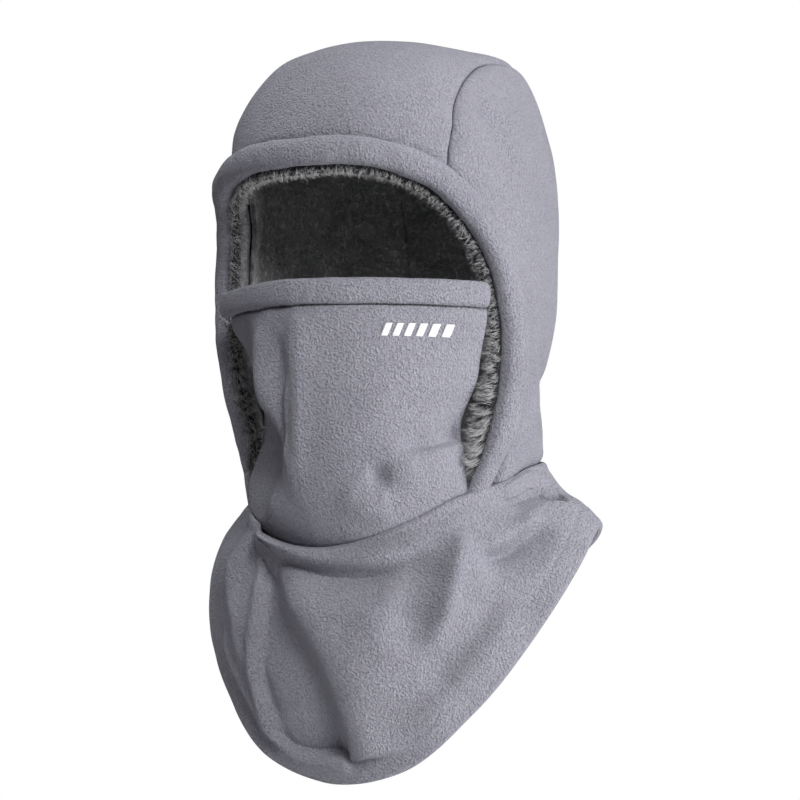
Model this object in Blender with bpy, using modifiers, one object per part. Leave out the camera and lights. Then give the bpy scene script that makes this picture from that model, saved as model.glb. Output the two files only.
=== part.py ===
"""Fleece balaclava: a three-panel lined hood, a pull-down mask and a bib-shaped cape.

Units are metres. +X is the wearer's left, -Y is the front and +Z is up. The origin is the point
inside the crown that rests on the top of the wearer's head.
"""
import math

import bmesh
import bpy
import numpy as np
from mathutils import Vector

# --- hood: heights are measured from the origin, reaches from the vertical line through it ---
CROWN_TOP = 0.007          # outer top of the hood
DOME_DEPTH = 0.115         # height of the rounded crown
DOME_POWER = 2.95          # fullness of the crown's side view, 2 is an ellipse
DOME_LEAN = 0.010          # how far the crown's top lies behind the middle
FRONT_POWER = 2.0          # fullness of the front half of every level outline
BACK_POWER = 2.2           # and of its back half
SIGHT = (0.0, 0.0, -0.120)  # middle of the head, from which the hood's surface is found

# height, half width, reach to the front, reach to the back
HOOD_PROFILE = (
    (-0.108, 0.0880, 0.1020, 0.1070),
    (-0.143, 0.0895, 0.1020, 0.1045),
    (-0.173, 0.0885, 0.0990, 0.0930),
    (-0.203, 0.0855, 0.0945, 0.0780),
    (-0.228, 0.0835, 0.0850, 0.0760),
    (-0.278, 0.0790, 0.0750, 0.0770),
)

# inner edge of the face opening, from the brow down to the neck seam, wearer's left
OPENING_EDGE = (
    (0.0000, -0.0995, -0.0760),
    (0.0280, -0.0940, -0.0760),
    (0.0490, -0.0830, -0.0800),
    (0.0645, -0.0685, -0.0890),
    (0.0750, -0.0550, -0.1030),
    (0.0820, -0.0440, -0.1200),
    (0.0860, -0.0365, -0.1400),
    (0.0875, -0.0325, -0.1600),
    (0.0865, -0.0310, -0.1800),
    (0.0825, -0.0320, -0.2020),
    (0.0760, -0.0350, -0.2220),
    (0.0690, -0.0400, -0.2430),
)

# seam between the crown panel and the left side panel, from the brow over the top to the nape
CROWN_SEAM = (
    (0.0706, -0.0645, -0.0826),
    (0.0703, -0.0575, -0.0566),
    (0.0675, -0.0456, -0.0344),
    (0.0640, -0.0250, -0.0180),
    (0.0570, 0.0150, -0.0050),
    (0.0500, 0.0700, -0.0280),
    (0.0460, 0.1000, -0.0900),
    (0.0430, 0.0900, -0.1700),
    (0.0410, 0.0720, -0.2260),
)
SEAM_TURN = 0.52           # share of the crown seam that tops the side panel, the rest is its back

# seam between hood and cape, from the front centre round the wearer's left to the back centre
NECK_SEAM = (
    (0.0000, -0.0745, -0.2690),
    (0.0290, -0.0705, -0.2645),
    (0.0500, -0.0600, -0.2545),
    (0.0670, -0.0430, -0.2425),
    (0.0780, -0.0120, -0.2300),
    (0.0800, 0.0160, -0.2255),
    (0.0700, 0.0450, -0.2250),
    (0.0410, 0.0690, -0.2250),
    (0.0000, 0.0770, -0.2250),
)

# the cape hangs through three more curves like the neck seam: upper roll, chest and lower edge
CAPE_ROLL = (
    (0.0000, -0.0840, -0.2930),
    (0.0340, -0.0790, -0.2890),
    (0.0600, -0.0640, -0.2770),
    (0.0770, -0.0420, -0.2610),
    (0.0885, -0.0100, -0.2440),
    (0.0930, 0.0170, -0.2380),
    (0.0800, 0.0500, -0.2410),
    (0.0460, 0.0730, -0.2480),
    (0.0000, 0.0820, -0.2510),
)
CAPE_CHEST = (
    (0.0000, -0.0790, -0.3450),
    (0.0400, -0.0740, -0.3360),
    (0.0680, -0.0600, -0.3150),
    (0.0850, -0.0420, -0.2920),
    (0.1010, -0.0120, -0.2640),
    (0.1060, 0.0190, -0.2470),
    (0.0900, 0.0530, -0.2540),
    (0.0500, 0.0780, -0.2740),
    (0.0000, 0.0860, -0.2850),
)
CAPE_EDGE = (
    (0.0000, -0.0630, -0.4035),
    (0.0445, -0.0585, -0.3905),
    (0.0765, -0.0470, -0.3600),
    (0.0980, -0.0340, -0.3300),
    (0.1160, -0.0095, -0.2900),
    (0.1190, 0.0215, -0.2610),
    (0.1010, 0.0560, -0.2700),
    (0.0540, 0.0830, -0.3000),
    (0.0000, 0.0900, -0.3200),
)

# --- cloth ---
FLEECE = 0.0030            # thickness of the outer fleece
LINING = 0.0030            # thickness of the plush lining
LAYER_GAP = 0.0012         # air between lining and fleece
SEAM_GAP = 0.0022          # width of the groove at a seam between two panels
THREAD = 0.0008            # diameter of the sewing thread
SHOULDER_GAP = 0.0046      # groove where the front and back cape fold together at the shoulder
SHOULDER_INSET = 0.0040    # further air there for the inner layers

BINDING_WIDTH = 0.0140
BINDING_THICKNESS = 0.0090
FUR_LENGTH = 0.0100        # fur strip across the edge

HEM_WIDTH = 0.0150         # turned lower edge of the cape
HEM_THICKNESS = 0.0064

# --- mask: half width at the edges, their reach forward, reach of the middle, pointedness ---
MASK_HEM_HEIGHT = 0.0130
MASK_HEM_THICKNESS = 0.0052
MASK_ROWS = (
    # height at the middle, height at the edges, half width, edge y, middle y, power
    (-0.1335, -0.1340, 0.0820, -0.0370, -0.1020, 1.45),
    (-0.1470, -0.1475, 0.0815, -0.0370, -0.1025, 1.50),
    (-0.1720, -0.1680, 0.0770, -0.0360, -0.1025, 1.65),
    (-0.1970, -0.1870, 0.0730, -0.0350, -0.1000, 1.80),
    (-0.2220, -0.2080, 0.0630, -0.0350, -0.0940, 1.95),
    (-0.2480, -0.2280, 0.0590, -0.0410, -0.0840, 2.05),
)


# ---------------------------------------------------------------- curves and surfaces
def through(points, count):
    """Evenly spaced points on a smooth curve through the given ones."""
    pts = np.asarray(points, float)
    knots = np.concatenate(([0.0], np.cumsum(np.linalg.norm(np.diff(pts, axis=0), axis=1))))
    fine = hermite(knots, pts, np.linspace(0.0, knots[-1], 600))
    return resample(fine, count)


def hermite(knots, values, at):
    """Smooth interpolation of values at rising knots."""
    knots, values = np.asarray(knots, float), np.asarray(values, float)
    slopes = np.gradient(values, knots, axis=0)
    i = np.clip(np.searchsorted(knots, at, side="right") - 1, 0, len(knots) - 2)
    span = knots[i + 1] - knots[i]
    t = np.clip((at - knots[i]) / span, 0.0, 1.0)
    shape = (-1,) + (1,) * (values.ndim - 1)
    t, span = t.reshape(shape), span.reshape(shape)
    return (
        (2 * t**3 - 3 * t**2 + 1) * values[i]
        + (t**3 - 2 * t**2 + t) * span * slopes[i]
        + (3 * t**2 - 2 * t**3) * values[i + 1]
        + (t**3 - t**2) * span * slopes[i + 1]
    )


def resample(pts, count, start=0.0, end=0.0):
    """Points at even distances along a polyline, leaving out a length at its start and end."""
    run = np.concatenate(([0.0], np.cumsum(np.linalg.norm(np.diff(pts, axis=0), axis=1))))
    at = np.linspace(start, run[-1] - end, count)
    return np.stack([np.interp(at, run, pts[:, k]) for k in range(3)], axis=1)


def mirrored(half):
    """A half curve from the middle plane outwards, completed on the wearer's right."""
    half = np.asarray(half, float)
    other = half[:0:-1] * (-1.0, 1.0, 1.0)
    return np.concatenate((other, half))


def hood_level(pts):
    """How far out each point lies on the hood's outline at its height: 1 is on the surface."""
    profile = np.asarray(HOOD_PROFILE)[::-1]
    z = pts[..., 2].ravel()
    width, front, back = hermite(profile[:, 0], profile[:, 1:], z).T
    rise = np.clip((z - (CROWN_TOP - DOME_DEPTH)) / DOME_DEPTH, 0.0, 0.99999)
    dome = (1.0 - rise**DOME_POWER) ** (1.0 / DOME_POWER)
    x, y = pts[..., 0].ravel(), pts[..., 1].ravel() - DOME_LEAN * rise**2
    reach = np.where(y < 0.0, front, back)
    power = np.where(y < 0.0, FRONT_POWER, BACK_POWER)
    level = np.abs(x / (width * dome))**power + np.abs(y / (reach * dome))**power
    level = np.where(z > CROWN_TOP, 2.0, level)
    return level.reshape(pts.shape[:-1])


def on_hood(pts):
    """Each point moved along its line from the middle of the head to the hood's surface."""
    pts = np.asarray(pts, float)
    sight = np.asarray(SIGHT)
    ray = pts - sight
    ray /= np.linalg.norm(ray, axis=-1, keepdims=True)
    low = np.full(pts.shape[:-1], 0.02)
    high = np.full(pts.shape[:-1], 0.30)
    for _ in range(40):
        mid = (low + high) / 2
        outside = hood_level(sight + ray * mid[..., None]) > 1.0
        high = np.where(outside, mid, high)
        low = np.where(outside, low, mid)
    return sight + ray * low[..., None]


def hood_normal(pts):
    """Outward direction of the hood's surface at points on it."""
    step = 1e-4
    grad = np.zeros_like(pts)
    for k in range(3):
        shift = np.zeros(3)
        shift[k] = step
        grad[..., k] = hood_level(pts + shift) - hood_level(pts - shift)
    return grad / np.linalg.norm(grad, axis=-1, keepdims=True)


def patch(top, bottom, left, right):
    """Points filling four boundary curves: rows run from top to bottom, columns left to right."""
    u = np.linspace(0.0, 1.0, len(top))[None, :, None]
    v = np.linspace(0.0, 1.0, len(left))[:, None, None]
    ruled_v = (1 - v) * top[None] + v * bottom[None]
    ruled_u = (1 - u) * left[:, None] + u * right[:, None]
    corners = (
        (1 - u) * (1 - v) * top[0] + u * (1 - v) * top[-1]
        + (1 - u) * v * bottom[0] + u * v * bottom[-1]
    )
    return ruled_v + ruled_u - corners


def trimmed(grid, left=0.0, right=0.0, top=0.0, bottom=0.0):
    """The grid with a strip of the given width taken off each side."""
    rows = np.stack([resample(row, len(row), left, right) for row in grid])
    columns = [resample(rows[:, j], len(rows), top, bottom) for j in range(rows.shape[1])]
    return np.stack(columns, axis=1)


def grid_normals(grid):
    """Unit normals of a grid of points, away from the head."""
    normal = np.cross(np.gradient(grid, axis=1), np.gradient(grid, axis=0))
    normal /= np.linalg.norm(normal, axis=-1, keepdims=True)
    middle = tuple(n // 2 for n in grid.shape[:2])
    return normal if normal[middle] @ (grid[middle] - SIGHT) > 0 else -normal


# ---------------------------------------------------------------- Blender objects
def clear_scene():
    for thing in list(bpy.data.objects):
        bpy.data.objects.remove(thing)


def material(name, colour, roughness=0.95, metallic=0.0):
    mat = bpy.data.materials.new(name)
    mat.use_nodes = True
    shader = mat.node_tree.nodes["Principled BSDF"]
    shader.inputs["Base Color"].default_value = (*colour, 1.0)
    shader.inputs["Roughness"].default_value = roughness
    shader.inputs["Metallic"].default_value = metallic
    return mat


def add_object(name, data, mat):
    thing = bpy.data.objects.new(name, data)
    PARTS.objects.link(thing)
    data.materials.append(mat)
    return thing


def shaded(mesh, angle=40.0):
    mesh.shade_smooth()
    mesh.set_sharp_from_angle(angle=math.radians(angle))


def cloth_sheet(name, grid, thickness, mat):
    """A closed sheet of cloth, thickened inwards from a grid of points on its outer side."""
    rows, columns = grid.shape[:2]
    bm = bmesh.new()
    verts = [bm.verts.new(p) for p in grid.reshape(-1, 3)]
    for i in range(rows - 1):
        for j in range(columns - 1):
            a = i * columns + j
            bm.faces.new([verts[k] for k in (a, a + 1, a + columns + 1, a + columns)])
    middle = bm.faces[:][(rows - 1) // 2 * (columns - 1) + (columns - 1) // 2]
    middle.normal_update()
    if middle.normal.dot(Vector(SIGHT) - middle.calc_center_median()) > 0:
        bmesh.ops.reverse_faces(bm, faces=bm.faces[:])
    mesh = bpy.data.meshes.new(name)
    bm.to_mesh(mesh)
    bm.free()
    shaded(mesh)
    thing = add_object(name, mesh, mat)
    solid = thing.modifiers.new("cloth thickness", "SOLIDIFY")
    solid.thickness = thickness
    solid.offset = -1.0
    solid.use_even_offset = True
    return thing


def sweep(name, rings, mat, hollow=None):
    """A closed solid through rings of equal length; hollow is a second set bored through it."""
    bm = bmesh.new()
    skins = [skin_of(bm, rings)]
    if hollow is not None:
        skins.append(skin_of(bm, hollow))
    for end in (0, -1):
        if hollow is None:
            bm.faces.new(skins[0][end])
            continue
        outer, inner = skins[0][end], skins[1][end]
        for k in range(len(outer)):
            m = (k + 1) % len(outer)
            bm.faces.new((outer[k], outer[m], inner[m], inner[k]))
    bmesh.ops.recalc_face_normals(bm, faces=bm.faces[:])
    mesh = bpy.data.meshes.new(name)
    bm.to_mesh(mesh)
    bm.free()
    shaded(mesh, 50.0)
    return add_object(name, mesh, mat)


def skin_of(bm, rings):
    """Quads joining each ring to the next; returns the rings' vertices."""
    loops = [[bm.verts.new(p) for p in ring] for ring in rings]
    for one, two in zip(loops, loops[1:]):
        for k in range(len(one)):
            m = (k + 1) % len(one)
            bm.faces.new((one[k], one[m], two[m], two[k]))
    return loops


def thread(name, pts, mat, closed=False):
    """A sewing thread along the points."""
    curve = bpy.data.curves.new(name, "CURVE")
    curve.dimensions = "3D"
    curve.bevel_depth = THREAD / 2
    curve.bevel_resolution = 0
    curve.use_fill_caps = True
    spline = curve.splines.new("POLY")
    spline.points.add(len(pts) - 1)
    for point, p in zip(spline.points, pts):
        point.co = (*p, 1.0)
    spline.use_cyclic_u = closed
    return add_object(name, curve, mat)


def oval(half_wide, half_thick, count, power=2.4):
    """Points round a full oval, as (across, out) pairs."""
    turn = np.linspace(0.0, 2 * math.pi, count, endpoint=False)
    c, s = np.cos(turn), np.sin(turn)
    across = half_wide * np.sign(c) * np.abs(c) ** (2 / power)
    out = half_thick * np.sign(s) * np.abs(s) ** (2 / power)
    return np.stack((across, out), axis=1)


def rings_along(path, across, out, shapes):
    """Rings of (across, out) shapes set square to a path."""
    return [
        p + shape[:, :1] * a + shape[:, 1:] * n
        for p, a, n, shape in zip(path, across, out, shapes)
    ]


# ---------------------------------------------------------------- the seams that the pieces share
def opening_frame(count):
    """Points along the face opening's edge, the direction into the opening, and outward."""
    edge = on_hood(through(mirrored(OPENING_EDGE), count))
    along = np.gradient(edge, axis=0)
    along /= np.linalg.norm(along, axis=1, keepdims=True)
    out = hood_normal(edge)
    inward = np.cross(along, out)
    inward /= np.linalg.norm(inward, axis=1, keepdims=True)
    if inward[count // 2] @ np.array((0.0, 0.0, -1.0)) < 0:
        inward = -inward
    out = np.cross(inward, along)
    if out[count // 2] @ np.array((0.0, -1.0, 0.0)) < 0:
        out = -out
    return edge, inward, out


def part_of(curve, start, end, count):
    """Even points on a share of a curve."""
    run = np.linspace(0.0, 1.0, len(curve))
    at = np.linspace(start, end, count)
    return np.stack([np.interp(at, run, curve[:, k]) for k in range(3)], axis=1)


def other_side(points):
    """The same points on the wearer's right."""
    return points * (-1.0, 1.0, 1.0)


class Seams:
    """The lines that the pieces meet along, worked out once."""

    def __init__(self):
        self.neck = on_hood(cape_curve(NECK_SEAM, np.linspace(0.0, 8.0, FINE)))
        self.above_neck = beside(self.neck, -SEAM_GAP / 2)
        self.edge, self.inward, self.out = opening_frame(EDGE_STATIONS)
        line = on_hood(self.edge - self.inward * (BINDING_WIDTH + SEAM_GAP))
        self.front_line = resample(line[EDGE_STATIONS // 2 :], FINE)
        beyond = self.front_line[-1] - self.inward[-1] * CORNER_ROOM
        self.corner, self.front_line[-1] = meeting(self.above_neck, beyond)
        seam = np.array(CROWN_SEAM)
        self.crown = on_hood(through(seam, FINE))

    def crown_side(self, distance):
        """The crown seam moved sideways, with where it starts and ends on the other lines."""
        curve = beside(self.crown, distance)
        start, curve[0] = meeting(self.front_line, curve[0])
        end, curve[-1] = meeting(self.above_neck, curve[-1])
        return curve, start, end


def beside(curve, distance):
    """A curve moved over the hood's surface, to its right as seen from outside."""
    across = np.cross(np.gradient(curve, axis=0), hood_normal(curve))
    across /= np.linalg.norm(across, axis=1, keepdims=True)
    return on_hood(curve + across * distance)


def meeting(curve, point):
    """Where a curve passes closest to a point: its share of the curve, and the place."""
    nearest = np.argmin(np.linalg.norm(curve - point, axis=1))
    return nearest / (len(curve) - 1), curve[nearest]


def cape_curve(knots, at):
    """Points of one of the cape's curves; at counts its knots from the front centre."""
    knots = np.asarray(knots, float)
    before, after = other_side(knots[1]), other_side(knots[-2])
    whole = np.concatenate((before[None], knots, after[None]))
    return hermite(np.arange(-1, len(knots) + 1), whole, at)


def side_grid(seams):
    columns, rows = SIDE_GRID
    seam, start, end = seams.crown_side(SEAM_GAP / 2)
    top = part_of(seam, 0.0, SEAM_TURN, columns)
    back = part_of(seam, SEAM_TURN, 1.0, rows)
    front = part_of(seams.front_line, start, 1.0, rows)
    bottom = part_of(seams.above_neck, seams.corner, end, columns)
    return on_hood(patch(top, bottom, front, back))


def crown_grid(seams):
    columns, rows = CROWN_GRID
    seam, start, end = seams.crown_side(-SEAM_GAP / 2)
    brow = part_of(seams.front_line, 0.0, start, columns // 2 + 1)
    nape = part_of(seams.above_neck, end, 1.0, columns // 2 + 1)[::-1]
    brow = np.concatenate((other_side(brow[:0:-1]), brow))
    nape = np.concatenate((other_side(nape[:0:-1]), nape))
    left = part_of(seam, 0.0, 1.0, rows)
    return on_hood(patch(brow, nape, other_side(left), left))


def cape_grid(seams, first, last, columns, rows):
    """Points of the cape between two places along its curves, top row first."""
    at = np.linspace(first, last, columns)
    reach = np.abs(at)
    turn = np.where(reach > 8.0, 16.0 - reach, reach)
    side = np.where((at < 0.0) | (at > 8.0), -1.0, 1.0)
    neck = np.stack([np.interp(turn, np.linspace(0, 8, len(seams.neck)), seams.neck[:, k])
                     for k in range(3)], axis=1)
    curves = [neck] + [cape_curve(c, turn) for c in (CAPE_ROLL, CAPE_CHEST, CAPE_EDGE)]
    stack = np.stack(curves)
    stack[..., 0] *= side
    return hermite(CAPE_FALL, stack, np.linspace(0.0, 1.0, rows))


def mask_row(row, columns):
    middle_z, edge_z, half_width, edge_y, middle_y, power = row
    turn = np.linspace(-math.pi / 2, math.pi / 2, 4 * columns + 1)
    share = np.abs(np.sin(turn)) ** (2 / power)
    depth = np.abs(np.cos(turn)) ** (2 / power)
    x = half_width * np.sign(np.sin(turn)) * share
    y = edge_y + (middle_y - edge_y) * depth
    z = edge_z + (middle_z - edge_z) * (1.0 - share**3)
    return resample(np.stack((x, y, z), axis=1), columns)


def mask_grid(seams):
    columns, rows = MASK_GRID
    levels = [mask_row(row, columns) for row in MASK_ROWS[1:]]
    neck = seams.above_neck[: np.argmax(seams.above_neck[:, 0] > MASK_FOOT)]
    neck = np.concatenate((other_side(neck[:0:-1]), neck))
    levels.append(resample(neck, columns))
    stack = np.stack(levels)
    knots = np.linspace(0.0, 1.0, len(levels))
    grid = hermite(knots, stack, np.linspace(0.0, 1.0, rows))
    return trimmed(grid, 0.0, 0.0, SEAM_GAP, MASK_FOOT_ROOM)


# ---------------------------------------------------------------- the pieces
def layered(name, lining_name, grid, normals, side_inset=0.0):
    """An outer fleece panel and the plush panel that lines it, which is a little smaller."""
    cloth_sheet(name, grid, FLEECE, FLEECE_CLOTH)
    inner = (grid - normals * (FLEECE + LAYER_GAP))[:, ::2]
    across = LINING_INSET + side_inset
    inner = trimmed(inner, across, across, LINING_INSET, LINING_FOOT)
    cloth_sheet(lining_name, inner, LINING, PLUSH_CLOTH)


def make_hood(seams):
    left, crown = side_grid(seams), crown_grid(seams)
    right = other_side(left)
    layered("left_side_panel", "left_side_lining", left, hood_normal(left))
    layered("right_side_panel", "right_side_lining", right, hood_normal(right))
    layered("crown_panel", "crown_lining", crown, hood_normal(crown))


def make_cape(seams):
    for name, first, last, columns in (
        ("front_cape", -SHOULDER, SHOULDER, FRONT_CAPE_COLUMNS),
        ("back_cape", SHOULDER, 16.0 - SHOULDER, BACK_CAPE_COLUMNS),
    ):
        side = SHOULDER_GAP / 2
        full = cape_grid(seams, first, last, columns, CAPE_ROWS)
        grid = trimmed(full, side, side, SEAM_GAP / 2, HEM_WIDTH + SEAM_GAP)
        layered(name, name + "_lining", grid, grid_normals(grid), SHOULDER_INSET)
        make_cape_hem(name.replace("cape", "hem"), full)


def make_cape_hem(name, full):
    """The turned lower edge of a cape panel, with the thread that holds it."""
    ends = SHOULDER_GAP / 2 + SHOULDER_INSET
    rows = np.stack([resample(row, len(row), ends, ends) for row in full])
    path, above = rows[-1], rows[-2]
    down = path - above
    down /= np.linalg.norm(down, axis=1, keepdims=True)
    along = np.gradient(path, axis=0)
    out = np.cross(down, along)
    out /= np.linalg.norm(out, axis=1, keepdims=True)
    middle = len(path) // 2
    if out[middle] @ (path[middle] - np.asarray(SIGHT)) < 0:
        out = -out
    centre = path - down * HEM_WIDTH / 2 - out * HEM_THICKNESS / 2
    shape = oval(HEM_WIDTH / 2, HEM_THICKNESS / 2, 10, 3.0)
    sweep(name, rings_along(centre, down, out, [shape] * len(path)), FLEECE_CLOTH)
    stitch = path - down * (HEM_WIDTH + SEAM_GAP / 2) - out * FLEECE * 0.5
    thread(name + "_thread", stitch, THREAD_GREY)


def make_face_trim(seams):
    step = slice(None, None, TRIM_STEP)
    edge, inward, out = seams.edge[step], seams.inward[step], seams.out[step]

    centre = edge - inward * BINDING_WIDTH / 2 - out * BINDING_SINK
    shape = oval(BINDING_WIDTH / 2, BINDING_THICKNESS / 2, 12, 2.6)
    rings = above_neck(seams, rings_along(centre, inward, out, [shape] * len(edge)))
    sweep("face_binding", rings, FLEECE_CLOTH)

    shapes, offsets = [], []
    for p in edge:
        low = np.clip((FUR_WIDENS - p[2]) / (FUR_WIDENS - seams.edge[0, 2]), 0.0, 1.0)
        thick = FUR_THIN + (FUR_THICK - FUR_THIN) * low
        shapes.append(oval(FUR_LENGTH / 2, thick / 2, 10, 2.2))
        offsets.append(thick / 2)
    offsets = np.array(offsets)[:, None]
    base = edge - inward * FUR_SETBACK - out * (FUR_SINK + offsets)
    sweep("fur_trim", above_neck(seams, rings_along(base, inward, out, shapes)), FUR_PILE)

    groove = on_hood(seams.edge - seams.inward * (BINDING_WIDTH + SEAM_GAP / 2))
    groove = groove - hood_normal(groove) * FLEECE / 2
    groove = resample(groove, 60, THREAD_ENDS, THREAD_ENDS)
    thread("binding_thread", above_neck(seams, groove[None])[0], THREAD_GREY)


def above_neck(seams, rings):
    """The rings with every point that would reach below the neck seam raised to just above it."""
    bearing = np.arctan2(seams.neck[:, 0], -seams.neck[:, 1])
    raised = []
    for ring in rings:
        own = np.abs(np.arctan2(ring[:, 0], -ring[:, 1]))
        floor = np.interp(own, bearing, seams.neck[:, 2]) + SEAM_GAP / 2 + TRIM_ROOM
        raised.append(np.column_stack((ring[:, :2], np.maximum(ring[:, 2], floor))))
    return raised


def make_mask(seams):
    grid = mask_grid(seams)
    layered("mask_panel", "mask_lining", grid, grid_normals(grid))

    columns = HEM_STATIONS
    top, bottom = mask_row(MASK_ROWS[0], columns), mask_row(MASK_ROWS[1], columns)
    centre = (top + bottom) / 2
    along = np.gradient(centre, axis=0)
    down = bottom - top
    down /= np.linalg.norm(down, axis=1, keepdims=True)
    out = np.cross(down, along)
    out /= np.linalg.norm(out, axis=1, keepdims=True)
    if out[columns // 2, 1] > 0:
        out = -out
    casing = oval(MASK_HEM_HEIGHT / 2, MASK_HEM_THICKNESS / 2, 12, 3.0)
    tunnel = oval(ELASTIC_WIDTH / 2 + ELASTIC_ROOM, ELASTIC_THICKNESS / 2 + ELASTIC_ROOM, 12, 3.0)
    band = oval(ELASTIC_WIDTH / 2, ELASTIC_THICKNESS / 2, 8, 4.0)
    centre = centre - out * MASK_HEM_THICKNESS / 2
    sweep(
        "mask_hem",
        rings_along(centre, down, out, [casing] * columns),
        FLEECE_CLOTH,
        rings_along(centre, down, out, [tunnel] * columns),
    )
    sweep("mask_elastic", rings_along(centre, down, out, [band] * columns), ELASTIC_WEB)
    stitch = bottom + down * SEAM_GAP / 2 - out * FLEECE * 0.5
    thread("mask_hem_thread", stitch[1:-1], THREAD_GREY)

    run = grid[BADGE_ROW]
    middle = np.linalg.norm(np.diff(run, axis=0), axis=1).sum() / 2
    path = resample(run, BADGE_STATIONS, middle + BADGE_START, middle - BADGE_START - BADGE_LENGTH)
    along = np.gradient(path, axis=0)
    down = np.tile((0.0, 0.0, -1.0), (len(path), 1))
    out = np.cross(down, along)
    out /= np.linalg.norm(out, axis=1, keepdims=True)
    if out[0, 1] > 0:
        out = -out
    plate = oval(BADGE_HEIGHT / 2, BADGE_THICKNESS / 2, 8, 4.0)
    path = path + out * (BADGE_THICKNESS / 2 + BADGE_LIFT)
    sweep("mask_badge", rings_along(path, down, out, [plate] * len(path)), BADGE_FILM)


def make_threads(seams):
    sunk = seams.crown - hood_normal(seams.crown) * FLEECE * 0.5
    path = resample(sunk, 40, CROWN_THREAD_ENDS, CROWN_THREAD_ENDS)
    thread("left_crown_thread", path, THREAD_GREY)
    thread("right_crown_thread", other_side(path), THREAD_GREY)

    half = resample(seams.neck - hood_normal(seams.neck) * FLEECE * 0.5, 36)
    ring = np.concatenate((half, other_side(half[-2:0:-1])))
    thread("neck_thread", ring, THREAD_GREY, closed=True)

    fall = cape_grid(seams, SHOULDER, SHOULDER + 1e-3, 2, 24)[:, 0]
    fall = resample(fall, 12, 0.003, 0.004)
    inward = np.array((-1.0, 0.0, -0.6))
    fall = fall + inward / np.linalg.norm(inward) * FLEECE * 0.5
    thread("left_shoulder_thread", fall, THREAD_GREY)
    thread("right_shoulder_thread", other_side(fall), THREAD_GREY)


def make_small_pieces():
    for name, side in (("left_bartack", 1.0), ("right_bartack", -1.0)):
        start, end = np.asarray(BARTACK, float)
        pts = np.stack((start, end)) * (side, 1.0, 1.0)
        tack = thread(name, pts, THREAD_GREY)
        tack.data.bevel_depth = BARTACK_THICKNESS / 2

    bpy.ops.mesh.primitive_cube_add(size=1.0, location=LABEL_PLACE)
    label = bpy.context.object
    label.name = "care_label"
    label.data.transform(((LABEL_SIZE[0], 0, 0, 0), (0, LABEL_SIZE[1], 0, 0),
                          (0, 0, LABEL_SIZE[2], 0), (0, 0, 0, 1)))
    label.data.materials.append(LABEL_TAPE)
    for collection in list(label.users_collection):
        collection.objects.unlink(label)
    PARTS.objects.link(label)


# --- how finely the pieces are drawn, and the small dimensions of the trims ---
FINE = 1201                # points along a seam before a panel takes its own from it
EDGE_STATIONS = 181        # points along the whole face opening
TRIM_ROOM = 0.0012         # air between the trims' lower ends and the cape
CORNER_ROOM = 0.0025       # how far the side panels' front lower corners keep off the binding
TRIM_STEP = 4              # every so many of those points the trims have a ring
SIDE_GRID = (17, 17)
CROWN_GRID = (13, 33)
CAPE_ROWS = 11
CAPE_FALL = (0.0, 0.2, 0.58, 1.0)  # how far down the cape its four curves lie
SHOULDER = 5.0             # knot of the cape's curves at the shoulder seam
FRONT_CAPE_COLUMNS = 29
BACK_CAPE_COLUMNS = 17
MASK_GRID = (23, 11)
MASK_FOOT_ROOM = 0.0006    # further air between the mask and the thread below it
MASK_FOOT = 0.0640         # half width of the mask at the neck seam
HEM_STATIONS = 27
LINING_INSET = 0.0035
LINING_FOOT = 0.0060       # how much higher than its panel a lining ends
THREAD_ENDS = 0.0120       # how far the binding's thread stops short of the neck seam
CROWN_THREAD_ENDS = 0.0130  # how far the crown's threads stop short of binding and neck seam

BINDING_SINK = -0.0005
FUR_THIN = 0.0060
FUR_THICK = 0.0075
FUR_WIDENS = -0.150        # height below which the fur grows thicker
FUR_SETBACK = 0.0050
FUR_SINK = 0.0047

ELASTIC_WIDTH = 0.0080
ELASTIC_THICKNESS = 0.0014
ELASTIC_ROOM = 0.0006
BADGE_ROW = 1
BADGE_START = 0.0470       # along the mask from its middle
BADGE_LENGTH = 0.0390
BADGE_HEIGHT = 0.0060
BADGE_THICKNESS = 0.0006
BADGE_LIFT = 0.0004
BADGE_STATIONS = 9

BARTACK = ((0.0829, -0.0392, -0.1440), (0.0847, -0.0398, -0.1440))
BARTACK_THICKNESS = 0.0012
LABEL_PLACE = (0.0, 0.0660, -0.2380)
LABEL_SIZE = (0.0240, 0.0006, 0.0180)


clear_scene()
PARTS = bpy.data.collections.new("balaclava")
bpy.context.scene.collection.children.link(PARTS)

FLEECE_CLOTH = material("grey fleece", (0.33, 0.33, 0.37))
PLUSH_CLOTH = material("dark plush", (0.028, 0.028, 0.03))
FUR_PILE = material("frosted fur", (0.12, 0.12, 0.13))
ELASTIC_WEB = material("elastic webbing", (0.08, 0.08, 0.08), 0.8)
THREAD_GREY = material("grey thread", (0.2, 0.2, 0.22), 0.7)
BADGE_FILM = material("white badge film", (0.85, 0.85, 0.87), 0.45)
LABEL_TAPE = material("label tape", (0.7, 0.7, 0.7), 0.6)

SEAMS = Seams()
make_hood(SEAMS)
make_cape(SEAMS)
make_face_trim(SEAMS)
make_mask(SEAMS)
make_threads(SEAMS)
make_small_pieces()
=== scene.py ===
"""Looks of the fleece balaclava: sewn fleece panels with their folds, a puffy binding, frosted fur,
a pull-down mask and a plush lining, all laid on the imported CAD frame.

Units are metres in the frame of the CAD: +X is the wearer's left, -Y the front and +Z up.
"""
import math

import bmesh
import bpy
import numpy as np
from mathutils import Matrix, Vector, noise


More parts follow.
